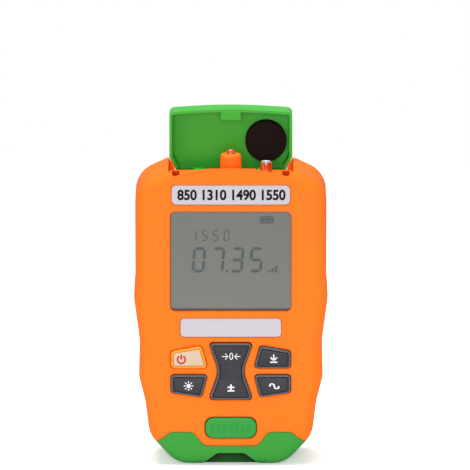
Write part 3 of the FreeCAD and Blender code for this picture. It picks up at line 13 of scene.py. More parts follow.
import bpy
from bpy.types import Material, Mesh, MeshPolygon, Node, NodeSocket, NodeTree, Object
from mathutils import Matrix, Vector


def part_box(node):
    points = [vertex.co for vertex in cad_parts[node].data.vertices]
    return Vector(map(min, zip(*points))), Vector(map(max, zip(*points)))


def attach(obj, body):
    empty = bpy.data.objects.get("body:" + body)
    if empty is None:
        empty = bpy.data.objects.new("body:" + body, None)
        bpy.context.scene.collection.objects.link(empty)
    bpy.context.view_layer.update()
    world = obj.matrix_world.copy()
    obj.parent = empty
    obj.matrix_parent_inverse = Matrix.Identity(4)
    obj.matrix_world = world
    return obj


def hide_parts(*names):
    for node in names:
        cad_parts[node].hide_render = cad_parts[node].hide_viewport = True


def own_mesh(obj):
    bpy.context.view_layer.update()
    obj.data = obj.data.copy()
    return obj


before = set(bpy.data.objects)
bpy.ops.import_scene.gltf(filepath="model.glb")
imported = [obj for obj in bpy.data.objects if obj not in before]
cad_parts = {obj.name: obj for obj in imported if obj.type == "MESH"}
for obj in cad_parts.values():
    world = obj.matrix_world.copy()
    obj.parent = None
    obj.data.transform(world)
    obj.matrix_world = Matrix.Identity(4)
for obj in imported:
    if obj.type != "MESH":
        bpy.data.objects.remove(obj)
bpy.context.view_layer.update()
LOG = logging.getLogger("power_meter")
Point = tuple[float, float]
Triple = tuple[float, float, float]
Four = tuple[float, float, float, float]

TO_VIEWER = (math.pi / 2, 0.0, 0.0)  # turns a flat primitive to face the viewer
STEEP = 0.9  # least share of a normal along Y for a face to count as front or back
FLAT_WITHIN = 0.005  # how far a face may lie from the foremost or rearmost plane
SAME_SPOT = 0.001  # how near a point lies to the corner that it is looked up by
WELD = 0.0005  # points of a converted sign closer than this are one
SHARP = math.radians(30.0)  # least angle of an edge that is softened
INK_PROUD = 0.02  # how far print stands out of its surface
INK_THICK = 0.03  # thickness of a printed sign, part of which is in the surface
FINE = 3.0  # octaves of a noise with fine detail
BEVEL_RAYS = 6
HOLLOW_RAYS = 8


def mm(*lengths: float) -> float | tuple[float, ...]:
    """Turn millimetres into metres, one number or several."""
    metres = tuple(length / 1000 for length in lengths)
    return metres[0] if len(metres) == 1 else metres


def linear(code: str) -> Four:
    """Turn an sRGB hex colour into a linear one.

    Args:
        code: Six hex digits.

    Returns:
        Red, green, blue and alpha, from 0 to 1.
    """
    shares = [int(code[i:i + 2], 16) / 255 for i in (0, 2, 4)]
    return (*(s / 12.92 if s <= 0.04045 else ((s + 0.055) / 1.055) ** 2.4 for s in shares), 1.0)


def add_node(tree: NodeTree, kind: str, settings: dict | None = None,
             links: dict | None = None) -> Node:
    """Add one shader node.

    Args:
        tree: The material's or world's node tree.
        kind: The node's type name after ShaderNode, such as Bump.
        settings: Values by property name or by input name or number.
        links: Output sockets by the name or number of the input that they feed.

    Returns:
        The new node.
    """
    node = tree.nodes.new(f"ShaderNode{kind}")
    for key, value in (settings or {}).items():
        if isinstance(key, str) and hasattr(node, key):
            setattr(node, key, value)
        else:
            node.inputs[key].default_value = value
    for key, socket in (links or {}).items():
        tree.links.new(socket, node.inputs[key])
    return node


def object_place(tree: NodeTree) -> NodeSocket:
    """Add a node for Object coordinates and return its socket."""
    return add_node(tree, "TexCoord").outputs["Object"]


# ---------------- finishes
@dataclass(frozen=True)
class Finish:
    """A real material, named with how it is made. Each kind builds its own shader."""

    title: str

    def shader(self, tree: NodeTree) -> NodeSocket:
        """Build the shader and return its socket."""
        raise NotImplementedError

    def material(self) -> Material:
        """Build the material round its shader.

        Returns:
            The new material.
        """
        material = bpy.data.materials.new(self.title)
        material.use_nodes = True
        tree = material.node_tree
        tree.nodes.clear()
        add_node(tree, "OutputMaterial", {}, {"Surface": self.shader(tree)})
        return material


@dataclass(frozen=True)
class Moulded(Finish):
    """A moulded plastic or rubber surface: its tint drifts a little and it has a fine grain.

    Attributes:
        drift: Tint that the colour wanders to, over lengths of drift_size.
        spread: How far the grain moves the roughness up and down.
        soft_edge: Radius that edges seem to have; 0 on thin printed pieces.
        hollow: Reach within which hollows get painted shade in hollow_shade_colour; 0 for none.
        hollow_power: How much faster than its opening a hollow's painted shade darkens.
    """

    colour: str
    drift: str
    roughness: float
    ior: float = 1.5
    spread: float = 0.05
    grain: float = 0.35
    grain_depth: float = 0.006
    drift_size: float = 18.0
    soft_edge: float = 0.25
    specular: float = 0.3
    coat: float = 0.0
    coat_roughness: float = 0.12
    hollow: float = 0.0
    hollow_shade_colour: str = "000000"
    hollow_power: float = 1.0

    def shader(self, tree: NodeTree) -> NodeSocket:
        """Build the shader: a drifting tint, a grained gloss and a relief with soft edges.

        Args:
            tree: The material's node tree.

        Returns:
            The shader's socket.
        """
        place = object_place(tree)
        cloud = add_node(tree, "TexNoise",
                         {"Scale": 1 / mm(self.drift_size), "Detail": FINE}, {"Vector": place})
        tint = add_node(tree, "Mix",
                        {"data_type": "RGBA", 6: linear(self.colour), 7: linear(self.drift)},
                        {0: cloud.outputs["Fac"]})
        # Hollows are painted towards a dark colour as shade, the more closed in the darker.
        if self.hollow:
            tint = self.painted_hollow_shade(tree, tint)
        grain = add_node(tree, "TexNoise",
                         {"Scale": 1 / mm(self.grain)}, {"Vector": place})
        shine = add_node(tree, "MapRange",
                         {"To Min": self.roughness - self.spread,
                          "To Max": self.roughness + self.spread},
                         {"Value": grain.outputs["Fac"]})
        relief = add_node(tree, "Bump", {"Distance": mm(self.grain_depth)},
                          {"Height": grain.outputs["Fac"]})
        if self.soft_edge:
            edge = add_node(tree, "Bevel",
                            {"samples": BEVEL_RAYS, "Radius": mm(self.soft_edge)})
            tree.links.new(edge.outputs["Normal"], relief.inputs["Normal"])
        skin = add_node(tree, "BsdfPrincipled",
                        {"IOR": self.ior, "Specular IOR Level": self.specular,
                         "Coat Weight": self.coat, "Coat Roughness": self.coat_roughness},
                        {"Base Color": tint.outputs[2], "Roughness": shine.outputs["Result"],
                         "Normal": relief.outputs["Normal"]})
        return skin.outputs["BSDF"]

    def painted_hollow_shade(self, tree: NodeTree, tint: Node) -> Node:
        """Paint shade into the tint: turn it towards the shade colour where the piece closes
        round itself.

        Args:
            tree: The material's node tree.
            tint: The node whose output 2 is the open colour.

        Returns:
            A node whose output 2 is the deepened colour.
        """
        opening = add_node(tree, "AmbientOcclusion",
                           {"samples": HOLLOW_RAYS, "only_local": True,
                            "Distance": mm(self.hollow)})
        share = add_node(tree, "Math",
                         {"operation": "POWER", 1: self.hollow_power},
                         {0: opening.outputs["AO"]})
        return add_node(tree, "Mix",
                        {"data_type": "RGBA", 6: linear(self.hollow_shade_colour)},
                        {0: share.outputs["Value"], 7: tint.outputs[2]})


@dataclass(frozen=True)
class Metal(Finish):
    """A metal surface with fine tool or rolling marks, finer along one axis by stretch."""

    colour: str
    roughness: float
    smoother: float = 0.06
    rougher: float = 0.08
    mark: float = 0.15
    mark_depth: float = 0.004
    stretch: Triple = (1.0, 1.0, 12.0)

    def shader(self, tree: NodeTree) -> NodeSocket:
        """Build the shader: a metal whose marks move its gloss and its relief.

        Args:
            tree: The material's node tree.

        Returns:
            The shader's socket.
        """
        along = add_node(tree, "Mapping", {"Scale": self.stretch},
                         {"Vector": object_place(tree)})
        marks = add_node(tree, "TexNoise",
                         {"Scale": 1 / mm(self.mark), "Detail": FINE},
                         {"Vector": along.outputs["Vector"]})
        shine = add_node(tree, "MapRange",
                         {"To Min": self.roughness - self.smoother,
                          "To Max": self.roughness + self.rougher},
                         {"Value": marks.outputs["Fac"]})
        relief = add_node(tree, "Bump", {"Distance": mm(self.mark_depth)},
                          {"Height": marks.outputs["Fac"]})
        skin = add_node(tree, "BsdfPrincipled",
                        {"Base Color": linear(self.colour), "Metallic": 1.0},
                        {"Roughness": shine.outputs["Result"],
                         "Normal": relief.outputs["Normal"]})
        return skin.outputs["BSDF"]


@dataclass(frozen=True)
class Clear(Finish):
    """A clear sheet with faint waves: it lets light through and mirrors a little."""

    tint: str
    roughness: float
    ior: float = 1.49
    wave: float = 60.0
    wave_depth: float = 0.02

    def shader(self, tree: NodeTree) -> NodeSocket:
        """Build the shader: a Fresnel mix of see-through and mirror.

        Args:
            tree: The material's node tree.

        Returns:
            The shader's socket.
        """
        swell = add_node(tree, "TexNoise", {"Scale": 1 / mm(self.wave)},
                         {"Vector": object_place(tree)})
        relief = add_node(tree, "Bump", {"Distance": mm(self.wave_depth)},
                          {"Height": swell.outputs["Fac"]})
        share = add_node(tree, "Fresnel", {"IOR": self.ior},
                         {"Normal": relief.outputs["Normal"]})
        through = add_node(tree, "BsdfTransparent", {"Color": linear(self.tint)})
        mirror = add_node(tree, "BsdfGlossy", {"Roughness": self.roughness},
                          {"Normal": relief.outputs["Normal"]})
        mix = add_node(tree, "MixShader", {},
                       {0: share.outputs["Fac"], 1: through.outputs["BSDF"],
                        2: mirror.outputs["BSDF"]})
        return mix.outputs["Shader"]


@dataclass(frozen=True)
class Foam(Finish):
    """Closed-cell foam with cut cells, each a pit of some depth, painted darker at its bottom
    as shade.
    """

    colour: str
    pit_rim_colour: str
    cell: float = 0.45
    depth: float = 0.08
    strength: float = 0.6
    roughness: float = 0.9
    specular: float = 0.15

    def shader(self, tree: NodeTree) -> NodeSocket:
        """Build the shader: a Voronoi field of small pits, painted darker towards their bottoms
        as shade.

        Args:
            tree: The material's node tree.

        Returns:
            The shader's socket.
        """
        cells = add_node(tree, "TexVoronoi", {"Scale": 1 / mm(self.cell)},
                         {"Vector": object_place(tree)})
        tint = add_node(tree, "Mix",
                        {"data_type": "RGBA", 6: linear(self.colour),
                         7: linear(self.pit_rim_colour)},
                        {0: cells.outputs["Distance"]})
        relief = add_node(tree, "Bump",
                          {"Distance": mm(self.depth), "Strength": self.strength},
                          {"Height": cells.outputs["Distance"]})
        skin = add_node(tree, "BsdfPrincipled",
                        {"Roughness": self.roughness, "Specular IOR Level": self.specular},
                        {"Base Color": tint.outputs[2], "Normal": relief.outputs["Normal"]})
        return skin.outputs["BSDF"]


@dataclass(frozen=True)
class Paper(Finish):
    """Paper that keeps a shadow and fades into a white room.

    Attributes:
        seen: Radius up to which it is solid, and that at which it is gone.
        lift: Light that it adds to what the camera sees of it.
    """

    colour: str
    seen: Point = (180.0, 520.0)
    lift: float = 0.35

    def shader(self, tree: NodeTree) -> NodeSocket:
        """Build the shader: lit paper that turns to clear far out.

        Args:
            tree: The material's node tree.

        Returns:
            The shader's socket.
        """
        away = add_node(tree, "VectorMath", {"operation": "LENGTH"}, {0: object_place(tree)})
        near, far = self.seen
        fade = add_node(tree, "MapRange",
                        {"interpolation_type": "SMOOTHSTEP", "From Min": mm(near),
                         "From Max": mm(far)}, {"Value": away.outputs["Value"]})
        paper = add_node(tree, "BsdfDiffuse", {"Color": linear(self.colour)})
        path = add_node(tree, "LightPath")
        lift = add_node(tree, "MapRange", {"To Max": self.lift},
                        {"Value": path.outputs["Is Camera Ray"]})
        glow = add_node(tree, "Emission", {}, {"Strength": lift.outputs["Result"]})
        lit = add_node(tree, "AddShader", {},
                       {0: paper.outputs["BSDF"], 1: glow.outputs["Emission"]})
        room = add_node(tree, "BsdfTransparent")
        mix = add_node(tree, "MixShader", {},
                       {0: fade.outputs["Result"], 1: lit.outputs["Shader"],
                        2: room.outputs["BSDF"]})
        return mix.outputs["Shader"]


# Warm plastic, soft sheen: edges look rounded and hollows are painted darker red as shade.
ORANGE = Moulded("satin_moulded_abs_orange", "FE7824", "FC7320", 0.5, ior=1.3, soft_edge=1.5,
                 specular=0.1, hollow=5.0, hollow_shade_colour="C83000", hollow_power=1.5)
# Mid green with little shine: the finger scoop is painted near black as shade.
GREEN = Moulded("semi_gloss_moulded_abs_green", "399839", "359236", 0.4, soft_edge=0.4,
                specular=0.14, hollow=12.0, hollow_shade_colour="010A03", hollow_power=5.0)
# The lid's green, painted brighter than the cap's as light falling into the tray, with a
# clearer shine on its walls.
LID_GREEN_PAINTED_LIGHT = Moulded("semi_gloss_moulded_abs_green_painted_light", "36B027", "32AA24", 0.34,
                    soft_edge=0.4)
# Cooler green whose rounded rim catches a thin light line.
BUTTON_GREEN = Moulded("semi_gloss_moulded_abs_light_green", "30963D", "2D913A", 0.4,
                       soft_edge=1.0, specular=0.2)
# The button's plastic painted a little darker as shade, so that its low ribs just show.
RIB_GREEN_PAINTED_SHADE = Moulded("semi_gloss_moulded_abs_green_painted_shade", "2E913B", "2B8C38", 0.4,
                    soft_edge=0.0, specular=0.16)
# Dark grey rubber, dull enough to keep the white signs clear.
KEY_RUBBER = Moulded("satin_moulded_silicone_dark_grey", "2E2F34", "2B2C31", 0.5, grain=0.3,
                     soft_edge=0.12)
# A near-black line painted in the groove as shade, setting a key's pad apart from its rim.
KEY_GROOVE = Moulded("satin_moulded_silicone_painted_groove_shade", "131417", "111215", 0.6, grain=0.3,
                     soft_edge=0.0)
# A brown line painted as shade in the groove round the cream pad.
POWER_GROOVE = Moulded("translucent_silicone_painted_groove_shade", "C9883A", "C48234", 0.5,
                       soft_edge=0.0)
# A paler rim, painted lighter as the highlight its slope catches, that draws each dark key's
# outline.
KEY_RIM = Moulded("satin_moulded_silicone_grey_painted_highlight", "5C5D61", "57585C", 0.45, grain=0.3,
                  soft_edge=0.0)
# A cream pad, dull and slightly yellow.
POWER_RUBBER = Moulded("satin_moulded_silicone_cream", "D0B79B", "CAB195", 0.5,
                       soft_edge=0.12)
# An amber rim: the casing's orange painted on as light shining through the translucent rubber.
POWER_RIM = Moulded("translucent_silicone_painted_orange_glow", "FF9C24", "FF961E", 0.4, soft_edge=0.0)
# A pale dull grey in the slits round the keys.
MAT_SILICONE = Moulded("matt_moulded_silicone_grey", "B4B4B2", "ACACAA", 0.65)
# Warm black without shine, pitted when seen from near, with shade painted in the pits.
FOAM = Foam("closed_cell_foam_black", "150E0C", "1C1512")
# A faint mirror over the grey display.
WINDOW = Clear("clear_acrylic_sheet", "FDFEFC", 0.08)
# The flat olive grey of an unlit display.
PANEL = Moulded("display_glass_over_reflector", "80827D", "7E807A", 0.35, grain=0.2,
                grain_depth=0.002, drift_size=30, soft_edge=0.0)
# Blue-grey strokes, only a little darker than the display.
SEGMENT = Moulded("liquid_crystal_segment", "565A5E", "53575B", 0.4, grain=0.2,
                  grain_depth=0.001, soft_edge=0.0)
# A brown line painted along the display's foot as the frame's shadow.
PAINTED_SHADOW_LINE = Moulded("painted_shadow_brown_line", "5A4636", "564232", 0.5, grain=0.2,
                    grain_depth=0.001, soft_edge=0.0)
# Milky white behind the display.
DIFFUSER = Moulded("moulded_acrylic_diffuser_white", "E4E4E0", "DEDEDA", 0.6)
# A pale lilac grey without gloss, on which black figures read well.
PLATE_FILM = Moulded("matt_polyester_film_pale", "BEB9C0", "BBB6BD", 0.5, grain=0.15)
# The one strong red, on the cream key.
RED_INK = Moulded("screen_ink_red", "BA1322", "B6101F", 0.5, grain=0.12, grain_depth=0.002,
                  soft_edge=0.0)
# Off-white that stands out on the dark keys.
WHITE_INK = Moulded("screen_ink_white", "E2E4E6", "DEE0E2", 0.5, grain=0.12,
                    grain_depth=0.002, soft_edge=0.0)
# Flat black without a highlight.
BLACK_INK = Moulded("screen_ink_black", "121015", "16141A", 0.6, grain=0.12,
                    grain_depth=0.002, soft_edge=0.0, specular=0.08)
# The dull green of a lacquered board.
BOARD = Moulded("solder_mask_green", "1E5A34", "1B5230", 0.45, grain=0.8)
# Grey strip with fine rolling marks.
SPRING = Metal("rolled_spring_steel", "B9B9B6", 0.3)
# Brighter and slightly warm, for pins, screws and the detector's can.
PLATED = Metal("nickel_plated_steel", "C4C3BE", 0.22)
# Near mirror with rings of tool marks round the port's barrel.
TURNED = Metal("turned_polished_steel", "D8D8D6", 0.16, stretch=(1.0, 1.0, 30.0))
# White ceramic with a hard gloss, down in the port.
ZIRCONIA = Moulded("polished_zirconia", "EFEFEA", "EAEAE4", 0.15, ior=2.1)
# Clear resin painted deep orange as the post's reflection, with a wet highlight on top.
LED_RESIN = Moulded("clear_epoxy_resin_painted_orange_reflection", "C0521F", "BA4D1B", 0.12, coat=0.5)
# Smooth dark blue-grey film round the cells.
JACKET = Moulded("printed_shrink_jacket", "2A3038", "262C34", 0.3)
# Dull pink strips along the display's edges.
ELASTOMER = Moulded("layered_elastomer_pink", "D2A5A0", "CC9E99", 0.6)
# White under the meter, with only a faint shadow.
SWEEP = Paper("matt_paper_sweep", "F6F6F6")

NODE_FINISHES = {
    ORANGE: ("front_shell", "rear_shell", "top_deck"),
    GREEN: ("bottom_cap",),
    LID_GREEN_PAINTED_LIGHT: ("flip_lid",),
    BUTTON_GREEN: ("release_button",),
    MAT_SILICONE: ("keypad_mat",),
    WINDOW: ("window_lens",),
    PANEL: ("display_panel",),
    DIFFUSER: ("backlight",),
    PLATE_FILM: ("title_plate", "label_plate"),
    BOARD: ("circuit_board",),
    SPRING: ("bay_contacts", "cap_contact"),
    PLATED: ("hinge_pin", "case_screws", "board_screws", "photodiode"),
    TURNED: ("port_barrel",),
    ZIRCONIA: ("ferrule_sleeve",),
    LED_RESIN: ("torch_led",),
    JACKET: ("left_cell", "middle_cell", "right_cell"),
    ELASTOMER: ("zebra_strips",),
}


def dress(piece: Object, *finishes: Finish) -> None:
    """Give a piece its materials, one slot for each finish.

    Args:
        piece: The object, whose old materials go.
        finishes: Its finishes, in the order of its material slots.
    """
    piece.data.materials.clear()
    for finish in finishes:
        known = bpy.data.materials.get(finish.title)
        piece.data.materials.append(known or finish.material())


# ---------------- bench
class Pick(Enum):
    """What an edit-mode step acts on."""

    POINTS = "vertices"
    EDGES = "edges"
    FACES = "polygons"


def put_down() -> None:
    """Leave edit mode and deselect everything."""
    if bpy.context.mode != "OBJECT":
        bpy.ops.object.mode_set(mode="OBJECT")
    bpy.ops.object.select_all(action="DESELECT")


def take_up(piece: Object) -> None:
    """Make one piece the only selected and active object.

    Args:
        piece: The object.
    """
    put_down()
    piece.select_set(True)
    bpy.context.view_layer.objects.active = piece


def settle() -> None:
    """Write the selected object's place, turn and scale into its mesh."""
    bpy.ops.object.transform_apply(location=True, rotation=True, scale=True)


def pick(piece: Object, kind: Pick, test: Callable) -> None:
    """Enter edit mode with only some elements selected.

    Args:
        piece: The mesh object.
        kind: Points, edges or faces.
        test: Takes the mesh and one element and says whether it is picked.
    """
    take_up(piece)
    mesh = piece.data
    for group in (mesh.vertices, mesh.edges, mesh.polygons):
        group.foreach_set("select", [False] * len(group))
    for item in [each for each in getattr(mesh, kind.value) if test(mesh, each)]:
        item.select = True
        if kind is not Pick.POINTS:
            for corner in item.vertices:
                mesh.vertices[corner].select = True
    bpy.context.tool_settings.mesh_select_mode = tuple(kind is each for each in Pick)
    bpy.ops.object.mode_set(mode="EDIT")


def any_face(mesh: Mesh, face: MeshPolygon) -> bool:
    """Pick every face."""
    return True


def facing_front(mesh: Mesh, face: MeshPolygon) -> bool:
    """Whether a face looks at the viewer from the foremost plane of its mesh."""
    nearest = min(point.co.y for point in mesh.vertices)
    return face.normal.y < -STEEP and abs(face.center.y - nearest) < mm(FLAT_WITHIN)


def facing_back(mesh: Mesh, face: MeshPolygon) -> bool:
    """Whether a face looks away from the viewer at the rearmost plane of its mesh."""
    farthest = max(point.co.y for point in mesh.vertices)
    return face.normal.y > STEEP and abs(face.center.y - farthest) < mm(FLAT_WITHIN)


def extrude(depth: float) -> None:
    """Extrude the picked faces along Y."""
    bpy.ops.mesh.extrude_region_move(TRANSFORM_OT_translate={"value": mm(0.0, depth, 0.0)})


def inset(width: float, sink: float) -> None:
    """Inset the picked faces and move what is left inside along Y."""
    bpy.ops.mesh.inset(thickness=mm(width), depth=0.0, use_even_offset=True)
    bpy.ops.transform.translate(value=mm(0.0, sink, 0.0))


def cut_level(piece: Object, rise: float) -> None:
    """Cut a piece's faces along a level line at some height."""
    pick(piece, Pick.FACES, any_face)
    bpy.ops.mesh.bisect(plane_co=mm(0.0, 0.0, rise), plane_no=(0.0, 0.0, 1.0))
    put_down()


def trims(corners: list[Triple]) -> list[float]:
    """Find how far along its sides each rounding of an outline starts from its corner.

    Args:
        corners: Corners (x, z, radius).

    Returns:
        One length for each corner.
    """
    lengths = []
    for index, (x, z, radius) in enumerate(corners):
        here = Vector((x, z))
        back = (Vector(corners[index - 1][:2]) - here).normalized()
        ahead = (Vector(corners[(index + 1) % len(corners)][:2]) - here).normalized()
        lengths.append(radius / math.tan(back.angle(ahead) / 2))
    return lengths


def oblong(x: float, z: float, wide: float, tall: float, radius: float = 0.0,
           lean: float = 0.0) -> list[Triple]:
    """List the corners of an upright oblong.

    Args:
        x: Its left side.
        z: Its foot.
        wide: Its width.
        tall: Its height.
        radius: Radius of its corners.
        lean: How far its top is shifted to the right.

    Returns:
        Corners (x, z, radius) for plate().
    """
    return [(x, z, radius), (x + wide, z, radius), (x + wide + lean, z + tall, radius),
            (x + lean, z + tall, radius)]


def plate(title: str, corners: list[Triple], front: float, back: float,
          segments: int = 6) -> Object:
    """Model a flat plate with rounded corners that faces the viewer.

    Args:
        title: The object's name.
        corners: Corners (x, z, radius), turning left as the viewer sees them.
        front: The y of the front face.
        back: The y of the back face.
        segments: Steps in each rounded corner.

    Returns:
        The new object, with its place in its mesh.
    """
    put_down()
    bpy.ops.mesh.primitive_circle_add(vertices=len(corners), radius=mm(1.0), fill_type="NGON",
                                      rotation=TO_VIEWER)
    piece = bpy.context.object
    piece.name = title
    settle()
    for index, (x, z, _) in enumerate(corners):
        pick(piece, Pick.POINTS, lambda mesh, point: point.index == index)
        shift = Vector(mm(x, back, z)) - piece.data.vertices[index].co
        bpy.ops.transform.translate(value=shift)
    for (x, z, radius), trim in zip(corners, trims(corners)):
        if radius:
            place = Vector(mm(x, back, z))
            pick(piece, Pick.POINTS,
                 lambda mesh, point: (point.co - place).length < mm(SAME_SPOT))
            bpy.ops.mesh.bevel(offset=mm(trim), segments=segments, affect="VERTICES")
    pick(piece, Pick.FACES, any_face)
    extrude(front - back)
    bpy.ops.mesh.select_all(action="SELECT")
    bpy.ops.mesh.normals_make_consistent(inside=False)
    put_down()
    return piece


def soften(piece: Object, width: float, segments: int = 2) -> None:
    """Bevel the sharp edges of a piece with an applied modifier and smooth its shading.

    Args:
        piece: The mesh object.
        width: Width of the bevel.
        segments: Steps in the bevel.
    """
    take_up(piece)
    bevel = piece.modifiers.new("softened_edges", "BEVEL")
    bevel.width = mm(width)
    bevel.segments = segments
    bevel.limit_method = "ANGLE"
    bevel.angle_limit = SHARP
    bpy.ops.object.modifier_apply(modifier=bevel.name)
    bpy.ops.object.shade_smooth_by_angle(angle=SHARP)
    put_down()


def copy_of(piece: Object, x: float, z: float) -> Object:
    """Copy a piece with its own mesh to another place on the face.

    Args:
        piece: The object to copy.
        x: How far the copy moves to the right.
        z: How far up.

    Returns:
        The copy.
    """
    take_up(piece)
    bpy.ops.object.duplicate(linked=False)
    twin = bpy.context.object
    twin.location = mm(x, 0.0, z)
    settle()
    return twin


def joined(title: str, pieces: list[Object]) -> Object:
    """Join pieces into one object.

    Args:
        title: The object's name.
        pieces: The pieces; the first takes in the others.

    Returns:
        The joined object.
    """
    take_up(pieces[0])
    for piece in pieces:
        piece.select_set(True)
    bpy.ops.object.join()
    whole = bpy.context.object
    whole.name = title
    put_down()
    return whole


def printed(title: str, words: str, centre: Point, size: Point, surface: float,
            weight: float) -> Object:
    """Print signs on a face that looks at the viewer.

    Args:
        title: The object's name.
        words: The signs.
        centre: Their centre (x, z).
        size: Their width and height.
        surface: The y of the surface that they are printed on.
        weight: How much bolder than the font, in font units.

    Returns:
        The new mesh object.
    """
    put_down()
    bpy.ops.object.text_add(rotation=TO_VIEWER)
    sign = bpy.context.object
    sign.name = title
    sign.data.body = words
    sign.data.offset = weight
    sign.data.extrude = 0.5  # any depth does, since the sign is scaled to the ink's below
    bpy.ops.object.convert(target="MESH")
    settle()
    points = [point.co for point in sign.data.vertices]
    low = Vector(min(point[axis] for point in points) for axis in range(3))
    high = Vector(max(point[axis] for point in points) for axis in range(3))
    span = high - low
    share = Vector((mm(size[0]) / span.x, mm(INK_THICK) / span.y, mm(size[1]) / span.z))
    middle = (low + high) / 2
    sign.scale = share
    depth = surface - INK_PROUD + INK_THICK / 2
    sign.location = (Vector(mm(centre[0], depth, centre[1]))
                     - Vector(m * s for m, s in zip(middle, share)))
    settle()
    pick(sign, Pick.FACES, any_face)
    bpy.ops.mesh.remove_doubles(threshold=mm(WELD))
    bpy.ops.mesh.normals_make_consistent(inside=False)
    put_down()
    return sign


def seat(piece: Object, body: str, slot: str, *finishes: Finish,
         instead_of: tuple[str, ...] = ()) -> None:
    """Dress a finished piece and hand it to its body.

    Args:
        piece: The finished object.
        body: The body that it moves with.
        slot: The record's material slot; not used.
        finishes: Its finishes, in the order of its material slots; none if it has them already.
        instead_of: CAD nodes that it replaces.
    """
    if finishes:
        dress(piece, *finishes)
    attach(piece, body)
    if instead_of:
        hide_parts(*instead_of)
    LOG.info("%s: %d faces on %s", piece.name, len(piece.data.polygons), body)


# ---------------- keypad
class Side(Enum):
    """Which side of the keypad a key is on, as the sign of its x."""

    LEFT = -1
    RIGHT = 1


UPPER = (33.65, 39.4, 41.25)
LOWER = (31.25, 25.2, 23.65)
CREAM = (POWER_RUBBER, POWER_RIM, POWER_GROOVE)
DARK = (KEY_RUBBER, KEY_RIM, KEY_GROOVE)


@dataclass(frozen=True)
class CornerKey:
    """One corner key, named by its CAD node and body.

    Attributes:
        rises: Heights of its straight edge, outer end and inner end.
        finishes: Finishes of its pad, rim and groove.
    """

    node: str
    rises: Triple
    side: Side
    slot: str = "dark_key_rubber"
    finishes: tuple[Moulded, ...] = DARK


@dataclass(frozen=True)
class Sign:
    """One sign printed on a key.

    Attributes:
        words: The sign, or nothing for a sun.
        body: The key that it moves with.
        weight: How much bolder than the font.
    """

    title: str
    words: str
    body: str
    centre: Point
    size: Point = (0.0, 0.0)
    weight: float = 0.02
    finish: Moulded = WHITE_INK
    slot: str = "dark_key_rubber"


